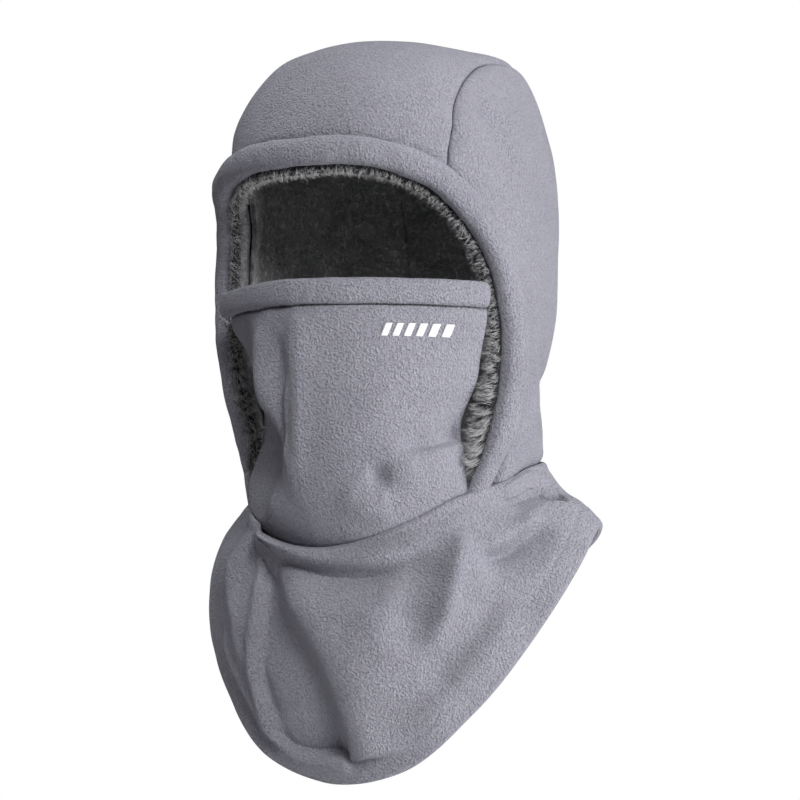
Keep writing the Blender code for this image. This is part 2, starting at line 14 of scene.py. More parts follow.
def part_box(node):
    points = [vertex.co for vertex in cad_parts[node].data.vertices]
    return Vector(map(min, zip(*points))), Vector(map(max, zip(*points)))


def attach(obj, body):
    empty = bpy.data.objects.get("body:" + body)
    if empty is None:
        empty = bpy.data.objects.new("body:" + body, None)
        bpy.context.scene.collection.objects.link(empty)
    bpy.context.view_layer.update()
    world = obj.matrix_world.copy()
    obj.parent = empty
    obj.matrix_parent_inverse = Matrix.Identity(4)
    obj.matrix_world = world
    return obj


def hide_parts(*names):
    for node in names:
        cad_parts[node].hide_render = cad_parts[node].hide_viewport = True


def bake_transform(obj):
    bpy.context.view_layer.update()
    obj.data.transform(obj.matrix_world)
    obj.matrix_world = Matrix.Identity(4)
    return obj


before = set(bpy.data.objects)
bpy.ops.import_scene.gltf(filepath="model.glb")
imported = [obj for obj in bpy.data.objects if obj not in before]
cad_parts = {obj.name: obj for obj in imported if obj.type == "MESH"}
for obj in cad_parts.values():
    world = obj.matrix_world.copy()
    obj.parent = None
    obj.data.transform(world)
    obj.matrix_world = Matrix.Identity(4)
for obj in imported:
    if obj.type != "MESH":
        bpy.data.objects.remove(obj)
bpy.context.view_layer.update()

# --- the hood's surface and the seams on it, as the CAD lays them out ---
CROWN_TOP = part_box("crown_panel")[1].z
DOME_DEPTH = 0.115         # height of the rounded crown
DOME_POWER = 2.95          # fullness of the crown's side view, 2 is an ellipse
DOME_LEAN = 0.010          # how far the crown's top lies behind the middle
FRONT_POWER = 2.0          # fullness of the front half of every level outline
BACK_POWER = 2.2           # and of its back half
SIGHT = np.array((0.0, 0.0, -0.120))   # middle of the head
HOOD_PROFILE = np.array((   # height, half width, reach to the front, reach to the back
    (-0.108, 0.0880, 0.1020, 0.1070),
    (-0.143, 0.0895, 0.1020, 0.1045),
    (-0.173, 0.0885, 0.0990, 0.0930),
    (-0.203, 0.0855, 0.0945, 0.0780),
    (-0.228, 0.0835, 0.0850, 0.0760),
    (-0.278, 0.0790, 0.0750, 0.0770),
))
OPENING_EDGE = (   # inner edge of the face opening, from the brow down to the neck seam
    (0.0000, -0.0995, -0.0760), (0.0280, -0.0940, -0.0760), (0.0490, -0.0830, -0.0800),
    (0.0645, -0.0685, -0.0890), (0.0750, -0.0550, -0.1030), (0.0820, -0.0440, -0.1200),
    (0.0860, -0.0365, -0.1400), (0.0875, -0.0325, -0.1600), (0.0865, -0.0310, -0.1800),
    (0.0825, -0.0320, -0.2020), (0.0760, -0.0350, -0.2220), (0.0690, -0.0400, -0.2430),
)
CROWN_SEAM = (   # from the brow over the top to the nape, on the wearer's left
    (0.0706, -0.0645, -0.0826), (0.0703, -0.0575, -0.0566), (0.0675, -0.0456, -0.0344),
    (0.0640, -0.0250, -0.0180), (0.0570, 0.0150, -0.0050), (0.0500, 0.0700, -0.0280),
    (0.0460, 0.1000, -0.0900), (0.0430, 0.0900, -0.1700), (0.0410, 0.0720, -0.2260),
)
SEAM_TURN = 0.52           # share of the crown seam that tops the side panel
NECK_SEAM = (   # from the front centre round the wearer's left to the back centre
    (0.0000, -0.0745, -0.2690), (0.0290, -0.0705, -0.2645), (0.0500, -0.0600, -0.2545),
    (0.0670, -0.0430, -0.2425), (0.0780, -0.0120, -0.2300), (0.0800, 0.0160, -0.2255),
    (0.0700, 0.0450, -0.2250), (0.0410, 0.0690, -0.2250), (0.0000, 0.0770, -0.2250),
)
CAPE_ROLL = (   # the cape hangs through this curve, the chest and the lower edge
    (0.0000, -0.0840, -0.2930), (0.0340, -0.0790, -0.2890), (0.0600, -0.0640, -0.2770),
    (0.0770, -0.0420, -0.2610), (0.0885, -0.0100, -0.2440), (0.0930, 0.0170, -0.2380),
    (0.0800, 0.0500, -0.2410), (0.0460, 0.0730, -0.2480), (0.0000, 0.0820, -0.2510),
)
CAPE_CHEST = (
    (0.0000, -0.0790, -0.3450), (0.0400, -0.0740, -0.3360), (0.0680, -0.0600, -0.3150),
    (0.0850, -0.0420, -0.2920), (0.1010, -0.0120, -0.2640), (0.1060, 0.0190, -0.2470),
    (0.0900, 0.0530, -0.2540), (0.0500, 0.0780, -0.2740), (0.0000, 0.0860, -0.2850),
)
CAPE_EDGE = (
    (0.0000, -0.0630, -0.4035), (0.0445, -0.0585, -0.3905), (0.0765, -0.0470, -0.3600),
    (0.0980, -0.0340, -0.3300), (0.1160, -0.0095, -0.2900), (0.1190, 0.0215, -0.2610),
    (0.1010, 0.0560, -0.2700), (0.0540, 0.0830, -0.3000), (0.0000, 0.0900, -0.3200),
)
CAPE_FALL = (0.0, 0.2, 0.58, 1.0)   # share of the fall at which each of the four curves lies
SHOULDER = 5.35            # knot of the cape's curves at the shoulder seam
MASK_ROWS = (   # middle height, edge height, half width, edge y, middle y, pointedness
    (-0.1335, -0.1340, 0.0820, -0.0370, -0.1020, 1.45),
    (-0.1470, -0.1475, 0.0815, -0.0370, -0.1025, 1.50),
    (-0.1720, -0.1680, 0.0770, -0.0360, -0.1025, 1.65),
    (-0.1970, -0.1870, 0.0730, -0.0350, -0.1000, 1.80),
    (-0.2220, -0.2080, 0.0640, -0.0350, -0.0965, 1.95),
    (-0.2540, -0.2300, 0.0670, -0.0360, -0.0905, 2.05),
)
MASK_RIGHT_CHEEK = (   # the same rows on the wearer's right, where the mask falls in
    ((0.0, -0.1025, -0.147), (-0.018, -0.0990, -0.147), (-0.040, -0.0865, -0.1475),
     (-0.062, -0.0650, -0.1475), (-0.0800, -0.0380, -0.1475)),
    ((0.0, -0.1025, -0.172), (-0.014, -0.0985, -0.172), (-0.030, -0.0915, -0.172),
     (-0.044, -0.0630, -0.170), (-0.071, -0.0310, -0.168)),
    ((0.0, -0.1000, -0.197), (-0.012, -0.0975, -0.197), (-0.025, -0.0925, -0.197),
     (-0.035, -0.0640, -0.194), (-0.068, -0.0290, -0.188)),
    ((0.0, -0.0965, -0.222), (-0.006, -0.0955, -0.222), (-0.013, -0.0905, -0.222),
     (-0.023, -0.0640, -0.219), (-0.069, -0.0320, -0.210)),
    ((0.0, -0.0905, -0.254), (-0.012, -0.0890, -0.253), (-0.024, -0.0845, -0.251),
     (-0.038, -0.0680, -0.247), (-0.069, -0.0450, -0.234)),
)
MASK_FOOT = (0.0640, 0.0715)   # how far round the neck seam it is sewn, wearer's right and left
PUSHES = (   # how the worn hood leaves its plain shape: centre, radius, shift
    ((-0.074, -0.043, -0.045), 0.034, (-0.0036, -0.0020, 0.0006)),
    ((-0.086, -0.046, -0.078), 0.024, (0.0074, 0.0040, 0.0)),
    ((-0.082, -0.040, -0.213), 0.022, (0.0052, 0.0028, 0.0)),
    ((-0.086, -0.046, -0.160), 0.032, (-0.0042, -0.0022, 0.0)),
    ((-0.072, -0.042, -0.254), 0.022, (0.0030, 0.0016, -0.0080)),
    ((0.053, 0.034, -0.004), 0.024, (0.0042, 0.0026, 0.0036)),
    ((-0.052, -0.030, -0.002), 0.030, (-0.0030, -0.0017, 0.0040)),
    ((0.000, 0.000, 0.007), 0.050, (0.0, 0.0, 0.0016)),
    ((0.075, 0.043, -0.185), 0.040, (-0.0044, -0.0026, 0.0)),
    ((0.090, 0.016, -0.244), 0.014, (-0.0062, -0.0030, -0.0030)),
    ((-0.010, -0.066, -0.400), 0.050, (0.0, 0.0, 0.0046)),
    ((-0.094, -0.012, -0.252), 0.022, (0.0050, 0.0028, -0.0040)),
    ((0.078, 0.035, -0.223), 0.013, (0.0022, 0.0013, 0.0)),
)

# --- cloth ---
FLEECE = 0.0030            # thickness of the outer fleece
LINING = 0.0030            # thickness of the plush behind it
LAYER_GAP = 0.0012         # air between the two
BINDING_WIDTH = 0.0150
BINDING_THICKNESS = 0.0128
SEAM_ROUND = 0.0026        # how far from a seam the cloth starts to turn in
PUCKER = 0.00055           # unevenness beside a seam
PUCKER_REACH = 0.0080
SEAM_DRAW = 0.0012         # how far a seam draws the cloth in
SEAM_DRAW_REACH = 0.0038
UNDER_BINDING = 0.0045     # how far the panels reach under the binding
UNDER_NECK = 0.0045        # how far they reach under the cape
NECK_TUCK = 0.0030         # how deep the cloth dips where the cape is sewn on
BINDING_CREASE = 0.0048    # how deep the hood dips beside the binding
BINDING_CREASE_REACH = 0.0050
HEM_WIDTH = 0.0150         # of the turned edge of the cape
HEM_THICKER = 0.0032       # what it adds to the cape's thickness
HEM_GROOVE = 0.0003        # depth of its stitched line
HEM_GROOVE_REACH = 0.0016
CAPE_LINING_SHORT = 6      # rows by which the cape's lining stops before its lower edge
MASK_HEM_START = 0.115     # share of its line where the mask's casing starts, short of the right bar tack
LINING_LATE = -0.006       # a value listed beside the mask's lining in make_mask's table

# --- fineness ---
SEAM_POINTS = 1201         # points along a seam
TRIM_STATIONS = 481        # points along the edge of the face opening


# ---------------------------------------------------------------- curves and surfaces
def hermite(knots, values, at):
    """Smooth interpolation of values at rising knots."""
    knots, values = np.asarray(knots, float), np.asarray(values, float)
    slopes = np.gradient(values, knots, axis=0)
    i = np.clip(np.searchsorted(knots, at, side="right") - 1, 0, len(knots) - 2)
    span = knots[i + 1] - knots[i]
    t = np.clip((at - knots[i]) / span, 0.0, 1.0)
    shape = (-1,) + (1,) * (values.ndim - 1)
    t, span = t.reshape(shape), span.reshape(shape)
    return (
        (2 * t**3 - 3 * t**2 + 1) * values[i]
        + (t**3 - 2 * t**2 + t) * span * slopes[i]
        + (3 * t**2 - 2 * t**3) * values[i + 1]
        + (t**3 - t**2) * span * slopes[i + 1]
    )


def lengths(pts):
    """Distance run along a polyline at each of its points."""
    return np.concatenate(([0.0], np.cumsum(np.linalg.norm(np.diff(pts, axis=0), axis=1))))


def at_shares(pts, shares):
    """Points at the given shares of a polyline's length."""
    run = lengths(pts)
    return np.stack([np.interp(shares * run[-1], run, pts[:, k]) for k in range(3)], axis=1)


def through(points, count):
    """Evenly spaced points on a smooth curve through the given ones."""
    pts = np.asarray(points, float)
    fine = hermite(lengths(pts), pts, np.linspace(0.0, lengths(pts)[-1], 600))
    return at_shares(fine, np.linspace(0.0, 1.0, count))


def other_side(points):
    """The same points on the wearer's right."""
    return np.asarray(points) * (-1.0, 1.0, 1.0)


def mirrored(half):
    """A half curve from the middle outwards, completed on the wearer's right."""
    half = np.asarray(half, float)
    return np.concatenate((other_side(half[:0:-1]), half))


def hood_level(pts):
    """How far out each point lies on the hood's outline at its height: 1 is on the surface."""
    z = pts[..., 2].ravel()
    width, front, back = hermite(HOOD_PROFILE[::-1, 0], HOOD_PROFILE[::-1, 1:], z).T
    rise = np.clip((z - (CROWN_TOP - DOME_DEPTH)) / DOME_DEPTH, 0.0, 0.99999)
    dome = (1.0 - rise**DOME_POWER) ** (1.0 / DOME_POWER)
    x, y = pts[..., 0].ravel(), pts[..., 1].ravel() - DOME_LEAN * rise**2
    reach = np.where(y < 0.0, front, back)
    power = np.where(y < 0.0, FRONT_POWER, BACK_POWER)
    level = np.abs(x / (width * dome))**power + np.abs(y / (reach * dome))**power
    return np.where(z > CROWN_TOP, 2.0, level).reshape(pts.shape[:-1])


def on_hood(pts):
    """Each point moved along its line from the middle of the head to the hood's surface."""
    ray = np.asarray(pts, float) - SIGHT
    ray /= np.linalg.norm(ray, axis=-1, keepdims=True)
    low, high = np.full(ray.shape[:-1], 0.02), np.full(ray.shape[:-1], 0.30)
    for _ in range(26):
        mid = (low + high) / 2
        outside = hood_level(SIGHT + ray * mid[..., None]) > 1.0
        high = np.where(outside, mid, high)
        low = np.where(outside, low, mid)
    return SIGHT + ray * low[..., None]


def hood_normal(pts):
    """Unit normals of the hood's plain surface at the given points."""
    grad = np.zeros_like(pts)
    for k in range(3):
        shift = np.zeros(3)
        shift[k] = 1e-4
        grad[..., k] = hood_level(pts + shift) - hood_level(pts - shift)
    return unit(grad)


def unit(vectors):
    """The vectors, each brought to length 1."""
    return vectors / np.maximum(np.linalg.norm(vectors, axis=-1, keepdims=True), 1e-12)


def grid_normals(grid):
    """Unit normals of a grid of points, away from the head."""
    normal = unit(np.cross(np.gradient(grid, axis=1), np.gradient(grid, axis=0)))
    middle = tuple(n // 2 for n in grid.shape[:2])
    return normal if normal[middle] @ (grid[middle] - SIGHT) > 0 else -normal


def patch(top, bottom, left, right, u, v):
    """Points filling four boundary curves; u and v are the shares of its columns and rows."""
    u, v = u[None, :, None], v[:, None, None]
    corners = (
        (1 - u) * (1 - v) * top[0] + u * (1 - v) * top[-1]
        + (1 - u) * v * bottom[0] + u * v * bottom[-1]
    )
    return ((1 - v) * top[None] + v * bottom[None]
            + (1 - u) * left[:, None] + u * right[:, None] - corners)


def crowded(count, edge=0.55):
    """Shares from 0 to 1 that lie closer together towards both ends."""
    t = np.linspace(0.0, 1.0, count)
    return (1 - edge) * t + edge * (1 - np.cos(np.pi * t)) / 2


def cape_curve(knots, at):
    """Points of one of the cape's curves; at counts its knots from the front centre."""
    knots = np.asarray(knots, float)
    whole = np.concatenate((other_side(knots[1])[None], knots, other_side(knots[-2])[None]))
    return hermite(np.arange(-1, len(knots) + 1), whole, at)


def meeting(curve, point):
    """Where a curve passes closest to a point: its share of the curve, and the place."""
    nearest = np.argmin(np.linalg.norm(curve - point, axis=1))
    return nearest / (len(curve) - 1), curve[nearest]


def worn(pts):
    """Points moved from the plain shape to the one the hood takes when it is worn."""
    moved = np.array(pts, float)
    for centre, radius, shift in PUSHES:
        near = np.exp(-np.sum((pts - np.array(centre))**2, axis=-1) / radius**2)
        moved += near[..., None] * shift
    return moved


def stretch(curve, start, end, shares):
    """Points at the given shares of the stretch of a curve from start to end."""
    run = np.linspace(0.0, 1.0, len(curve))
    at = start + (end - start) * shares
    return np.stack([np.interp(at, run, curve[:, k]) for k in range(3)], axis=1)


class Seams:
    """The lines that the pieces meet along, worked out once."""

    def __init__(self):
        self.neck = on_hood(cape_curve(NECK_SEAM, np.linspace(0.0, 8.0, SEAM_POINTS)))
        self.under_neck = on_hood(self.neck - np.array((0.0, 0.0, UNDER_NECK)))
        self.edge = on_hood(through(mirrored(OPENING_EDGE), TRIM_STATIONS))
        along = unit(np.gradient(self.edge, axis=0))
        out = hood_normal(self.edge)
        self.inward = unit(np.cross(along, out))
        if self.inward[TRIM_STATIONS // 2, 2] > 0:
            self.inward = -self.inward
        self.out = unit(np.cross(self.inward, along))
        if self.out[TRIM_STATIONS // 2, 1] > 0:
            self.out = -self.out
        line = on_hood(self.edge - self.inward * (BINDING_WIDTH - UNDER_BINDING))
        half = line[TRIM_STATIONS // 2:]
        self.front = at_shares(half, np.linspace(0.0, 1.0, SEAM_POINTS))
        self.corner, self.front[-1] = meeting(self.neck, self.front[-1])
        self.crown = on_hood(through(CROWN_SEAM, SEAM_POINTS))
        self.crown_start, self.crown[0] = meeting(self.front, self.crown[0])
        self.crown_end, self.crown[-1] = meeting(self.neck, self.crown[-1])


def side_grid(seams, columns, rows):
    """Points of the left side panel, from the crown seam down to the neck."""
    u, v = crowded(columns), crowded(rows)
    top = stretch(seams.crown, 0.0, SEAM_TURN, u)
    back = stretch(seams.crown, SEAM_TURN, 1.0, v)
    front = stretch(seams.front, seams.crown_start, 1.0, v)
    bottom = stretch(seams.under_neck, seams.corner, seams.crown_end, u)
    front[-1], back[-1] = bottom[0], bottom[-1]
    return on_hood(patch(top, bottom, front, back, u, v))


def crown_grid(seams, columns, rows):
    """Points of the crown panel, from the brow over the top to the nape."""
    u, v = crowded(columns), crowded(rows)
    half = np.clip(2 * u[columns // 2:] - 1, 0.0, 1.0)
    brow = stretch(seams.front, 0.0, seams.crown_start, half)
    nape = stretch(seams.under_neck, 1.0, seams.crown_end, half)
    left = stretch(seams.crown, 0.0, 1.0, v)
    left[-1] = nape[-1]
    return on_hood(patch(mirrored(brow), mirrored(nape), other_side(left), left, u, v))


def cape_grid(seams, first, last, columns, rows):
    """Points of the cape between two places along its curves, top row first."""
    at = first + (last - first) * crowded(columns, 0.3)
    reach = np.abs(at)
    turn = np.where(reach > 8.0, 16.0 - reach, reach)
    side = np.where((at < 0.0) | (at > 8.0), -1.0, 1.0)
    run = np.linspace(0.0, 8.0, len(seams.neck))
    neck = np.stack([np.interp(turn, run, seams.neck[:, k]) for k in range(3)], axis=1)
    stack = np.stack([neck] + [cape_curve(c, turn) for c in (CAPE_ROLL, CAPE_CHEST, CAPE_EDGE)])
    stack[..., 0] *= side
    return hermite(CAPE_FALL, stack, crowded(rows, 0.4))


def mask_row(row, shares):
    """Points at the given shares of one level line of the mask, from right to left."""
    middle_z, edge_z, half_width, edge_y, middle_y, power = row
    turn = np.linspace(-math.pi / 2, math.pi / 2, 801)
    share = np.abs(np.sin(turn)) ** (2 / power)
    depth = np.abs(np.cos(turn)) ** (2 / power)
    x = half_width * np.sign(np.sin(turn)) * share
    y = edge_y + (middle_y - edge_y) * depth
    z = edge_z + (middle_z - edge_z) * (1.0 - share**3)
    return at_shares(np.stack((x, y, z), axis=1), shares)


def mask_grid(seams, columns, rows):
    """Points of the mask, from its hem down to the neck seam."""
    half = 1 - crowded(columns // 2 + 1, 0.3)[::-1]
    levels = []
    for row, cheek in zip(MASK_ROWS[1:], MASK_RIGHT_CHEEK):
        left = mask_row(row, 0.5 + half / 2)
        right = at_shares(through(cheek, 200), half)
        levels.append(np.concatenate((right[:0:-1], left)))
    right, left = (
        seams.under_neck[: np.argmax(seams.neck[:, 0] > foot)] for foot in MASK_FOOT)
    right, left = other_side(at_shares(right, half)), at_shares(left, half)
    levels.append(np.concatenate((right[:0:-1], left)))
    return hermite(np.linspace(0.0, 1.0, len(levels)), np.stack(levels), crowded(rows, 0.4))


# ---------------------------------------------------------------- folds
def smooth(t):
    """A soft step from 0 to 1."""
    t = np.clip(t, 0.0, 1.0)
    return t * t * (3 - 2 * t)


class Folds:
    """Folds laid on a grid of points: how far each moves out, and how far it slides sideways.
    A fold's line is in millimetres, and its right is the right of someone who walks along it
    on the outside of the cloth."""

    def __init__(self, grid):
        self.grid = grid
        self.normals = grid_normals(grid)
        self.height = np.zeros(grid.shape[:2])
        self.slide = np.zeros(grid.shape)

    def nearest(self, line, reach, ends, count=17):
        """The points within reach of a line: which they are, their signed distance from it,
        how far the fold has risen from its ends there, and the way across it."""
        line = through(np.array(line) / 1000, count)
        low, high = line.min(axis=0) - reach, line.max(axis=0) + reach
        chosen = np.all((self.grid > low) & (self.grid < high), axis=-1)
        pts, normals = self.grid[chosen], self.normals[chosen]
        best = np.full(len(pts), np.inf)
        signed, share, across = np.zeros(len(pts)), np.zeros(len(pts)), np.zeros((len(pts), 3))
        for k, (a, b) in enumerate(zip(line, line[1:])):
            step = b - a
            t = np.clip((pts - a) @ step / (step @ step), 0.0, 1.0)
            away = pts - (a + t[:, None] * step)
            distance = np.linalg.norm(away, axis=1)
            way = unit(np.cross(step, normals))
            closer = distance < best
            best = np.where(closer, distance, best)
            signed = np.where(closer, np.sum(way * away, axis=1), signed)
            share = np.where(closer, (k + t) / (count - 1), share)
            across = np.where(closer[:, None], way, across)
        rise = smooth(share / ends[0]) * smooth((1 - share) / ends[1])
        return chosen, signed, rise, across

    def ridge(self, line, height, width, ends=(0.25, 0.25), crisp=1.0):
        """A fold that stands up, or a valley if height is negative. It is rounder the higher
        crisp is."""
        chosen, signed, rise, _ = self.nearest(line, 3 * width, ends)
        soft = 0.2 * width
        shape = np.exp(-((np.sqrt(signed**2 + soft**2) - soft) / width) ** (2 * crisp))
        self.height[chosen] += height * rise * shape

    def tuck(self, line, lift, drop, above, below, sharp, over=0.0, ends=(0.25, 0.25)):
        """A step in the cloth: to the line's right it is lifted, and swells back over the
        distance above; to its left it has dropped, and comes back over the distance below."""
        chosen, signed, rise, across = self.nearest(line, max(2.5 * above, below), ends)
        proud = lift * np.exp(-(signed / above) ** 2)
        sunk = -drop * np.clip(1 + signed / below, 0.0, 1.0) ** 1.3
        share = 0.5 * (1 + np.tanh(signed / sharp))
        self.height[chosen] += rise * (share * proud + (1 - share) * sunk)
        lip = np.exp(-((signed - 0.6 * sharp) / (1.8 * sharp)) ** 2)
        self.slide[chosen] -= (over * rise * lip)[:, None] * across

    def uneven(self, size, height, seed):
        self.height += waves(self.grid, size, height, seed)

    def laid(self):
        return self.grid + self.normals * self.height[..., None] + self.slide


def waves(pts, size, height, seed):
    """Shallow unevenness of the given size."""
    flat = pts.reshape(-1, 3) / size
    values = [noise.noise(Vector((p[0] + seed, p[1] - seed, p[2] + 0.5 * seed))) for p in flat]
    return height * np.array(values).reshape(pts.shape[:-1])


def edge_distances(grid):
    """Distance of each grid point from the grid's left, right, top and bottom edges."""
    across = np.linalg.norm(np.diff(grid, axis=1), axis=-1)
    down = np.linalg.norm(np.diff(grid, axis=0), axis=-1)
    left = np.pad(np.cumsum(across, axis=1), ((0, 0), (1, 0)))
    top = np.pad(np.cumsum(down, axis=0), ((1, 0), (0, 0)))
    return left, left[:, -1:] - left, top, top[-1:] - top


def pucker(grid, distance, seed):
    """The small gathers that a seam draws into the cloth beside it."""
    size = waves(grid, 0.009, 1.0, seed)
    return PUCKER * size * np.exp(-(distance / PUCKER_REACH) ** 2) - SEAM_DRAW * np.exp(
        -(distance / SEAM_DRAW_REACH) ** 2)


# ---------------------------------------------------------------- meshes
def add_mesh(name, verts, faces, mat):
    """A smooth-shaded mesh object of one material."""
    mesh = bpy.data.meshes.new(name)
    mesh.from_pydata([tuple(v) for v in verts], [], [tuple(f) for f in faces])
    mesh.update()
    mesh.shade_smooth()
    thing = bpy.data.objects.new(name, mesh)
    bpy.context.scene.collection.objects.link(thing)
    mesh.materials.append(mat)
    return thing


def outward(thing):
    """The object, with its faces turned to the outside."""
    bm = bmesh.new()
    bm.from_mesh(thing.data)
    bmesh.ops.recalc_face_normals(bm, faces=bm.faces)
    bm.to_mesh(thing.data)
    bm.free()
    return thing


def cloth(name, grid, normals, thickness, mat, soft_edge=SEAM_ROUND):
    """A closed sheet of cloth under a grid of points, with rounded edges all round."""
    rows, columns = grid.shape[:2]
    edge = np.minimum.reduce(edge_distances(grid))
    turn = np.clip(1 - edge / soft_edge, 0.0, 1.0)
    half = thickness / 2 * np.sqrt(1 - turn**2)
    middle = grid - normals * (np.zeros(edge.shape) + thickness / 2)[..., None]
    front = (middle + normals * half[..., None]).reshape(-1, 3)
    back = (middle - normals * half[..., None])[1:-1, 1:-1].reshape(-1, 3)
    index = np.arange(rows * columns).reshape(rows, columns)
    behind = index.copy()
    behind[1:-1, 1:-1] = rows * columns + np.arange(len(back)).reshape(rows - 2, columns - 2)
    quads = []
    for ids, flip in ((index, False), (behind, True)):
        q = np.stack((ids[:-1, :-1], ids[:-1, 1:], ids[1:, 1:], ids[1:, :-1]), axis=-1)
        q = q.reshape(-1, 4)
        quads.append(q[:, ::-1] if flip else q)
    thing = add_mesh(name, np.concatenate((front, back)), np.concatenate(quads), mat)
    return outward(thing)


def loft(name, rings, mat):
    """A closed solid through rings of points, with a face over each end."""
    rings = np.asarray(rings)
    count, size = rings.shape[:2]
    verts = rings.reshape(-1, 3)
    index = np.arange(count * size).reshape(count, size)
    nxt = np.roll(index, -1, axis=1)
    faces = [q for a, b, c, d in zip(index[:-1], nxt[:-1], nxt[1:], index[1:])
             for q in np.stack((a, b, c, d), axis=1)]
    faces += [index[0][::-1], index[-1]]
    return outward(add_mesh(name, verts, faces, mat))


def oval(half_wide, half_thick, count, power=2.4):
    """Points round a full oval, as (across, out) pairs."""
    turn = np.linspace(0.0, 2 * math.pi, count, endpoint=False)
    c, s = np.cos(turn), np.sin(turn)
    across = half_wide * np.sign(c) * np.abs(c) ** (2 / power)
    out = half_thick * np.sign(s) * np.abs(s) ** (2 / power)
    return np.stack((across, out), axis=1)


def rounded_ends(path, reach):
    """How full a roll is at each point of its path: 1, falling to a round end at both ends."""
    run = lengths(path)
    near = np.clip(1 - np.minimum(run, run[-1] - run) / reach, 0.0, 0.985)
    return np.sqrt(1 - near**2)


def rings_along(path, across, out, shape, fullness):
    """A ring of points at each point of a path, scaled by its fullness there."""
    return np.stack([
        p + (shape[:, :1] * a + shape[:, 1:] * n) * f
        for p, a, n, f in zip(path, across, out, fullness)
    ])


def stitches(name, line, out, mat, pitch=0.0034, length=0.0024, width=0.00055, sink=0.0001):
    """A row of separate sewn stitches along a line, each a small pillow that dips at its ends."""
    run = lengths(line)
    count = int(run[-1] / pitch)
    verts, faces = [], []
    shape = oval(width / 2, width / 3, 6, 2.0)
    rise = np.array((-0.9, 0.15, 0.5, 0.15, -0.9)) * width / 2
    full = (0.35, 0.9, 1.0, 0.9, 0.35)
    for k in range(count):
        centre = (k + 0.5) / count * run[-1]
        at = np.clip(centre + length * np.linspace(-0.5, 0.5, 5), 0, run[-1]) / run[-1]
        path = at_shares(line, at)
        up = unit(at_shares(out, np.full(5, centre / run[-1])))
        side = unit(np.cross(np.gradient(path, axis=0), up))
        base = len(verts)
        for p, n, s, r, f in zip(path, up, side, rise, full):
            verts.extend(p + n * (r - sink) + shape[:, :1] * s * f + shape[:, 1:] * n * f)
        for i in range(4):
            for j in range(6):
                m = (j + 1) % 6
                faces.append((base + 6 * i + j, base + 6 * i + m,
                              base + 6 * i + 6 + m, base + 6 * i + 6 + j))
        faces.append(tuple(base + j for j in range(5, -1, -1)))
        faces.append(tuple(base + 24 + j for j in range(6)))
    return outward(add_mesh(name, verts, faces, mat))


def finished(thing, node_names, body):
    """Puts a piece in the place of its CAD nodes."""
    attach(thing, body)
    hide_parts(*node_names)
    return thing


# ---------------------------------------------------------------- materials
class Nodes:
    """Short names for building a material's nodes."""

    def __init__(self, name):
        self.mat = bpy.data.materials.new(name)
        self.mat.use_nodes = True
        self.tree = self.mat.node_tree
        self.shader = self.tree.nodes["Principled BSDF"]
        self.place = self.tree.nodes.new("ShaderNodeTexCoord").outputs["Object"]

    def set(self, **values):
        for key, value in values.items():
            self.shader.inputs[key.replace("_", " ")].default_value = value

    def noise(self, scale, detail=2.0, rough=0.5, distortion=0.0):
        node = self.tree.nodes.new("ShaderNodeTexNoise")
        node.inputs["Scale"].default_value = scale
        node.inputs["Detail"].default_value = detail
        node.inputs["Roughness"].default_value = rough
        node.inputs["Distortion"].default_value = distortion
        self.tree.links.new(self.place, node.inputs["Vector"])
        return node.outputs["Fac"]

    def cells(self, scale, smoothness=0.6):
        node = self.tree.nodes.new("ShaderNodeTexVoronoi")
        node.feature = "SMOOTH_F1"
        node.inputs["Scale"].default_value = scale
        node.inputs["Smoothness"].default_value = smoothness
        self.tree.links.new(self.place, node.inputs["Vector"])
        return node.outputs["Distance"]

    def math(self, operation, a, b):
        node = self.tree.nodes.new("ShaderNodeMath")
        node.operation = operation
        for socket, value in zip(node.inputs, (a, b)):
            if isinstance(value, (int, float)):
                socket.default_value = value
            else:
                self.tree.links.new(value, socket)
        return node.outputs[0]

    def ramp(self, factor, stops):
        node = self.tree.nodes.new("ShaderNodeValToRGB")
        elements = node.color_ramp.elements
        while len(elements) < len(stops):
            elements.new(0.5)
        for element, (position, colour) in zip(elements, stops):
            element.position = position
            element.color = (*colour, 1.0)
        self.tree.links.new(factor, node.inputs["Fac"])
        return node.outputs["Color"]

    def mix(self, factor, a, b, blend="MIX"):
        node = self.tree.nodes.new("ShaderNodeMix")
        node.data_type = "RGBA"
        node.blend_type = blend
        for socket, value in ((node.inputs[0], factor), (node.inputs[6], a), (node.inputs[7], b)):
            if isinstance(value, (int, float)):
                socket.default_value = value
            elif isinstance(value, tuple):
                socket.default_value = (*value, 1.0)
            else:
                self.tree.links.new(value, socket)
        return node.outputs[2]

    def colour(self, output):
        self.tree.links.new(output, self.shader.inputs["Base Color"])

    def bump(self, height, distance, strength=1.0):
        node = self.tree.nodes.new("ShaderNodeBump")
        node.inputs["Strength"].default_value = strength
        node.inputs["Distance"].default_value = distance
        self.tree.links.new(height, node.inputs["Height"])
        self.tree.links.new(node.outputs["Normal"], self.shader.inputs["Normal"])


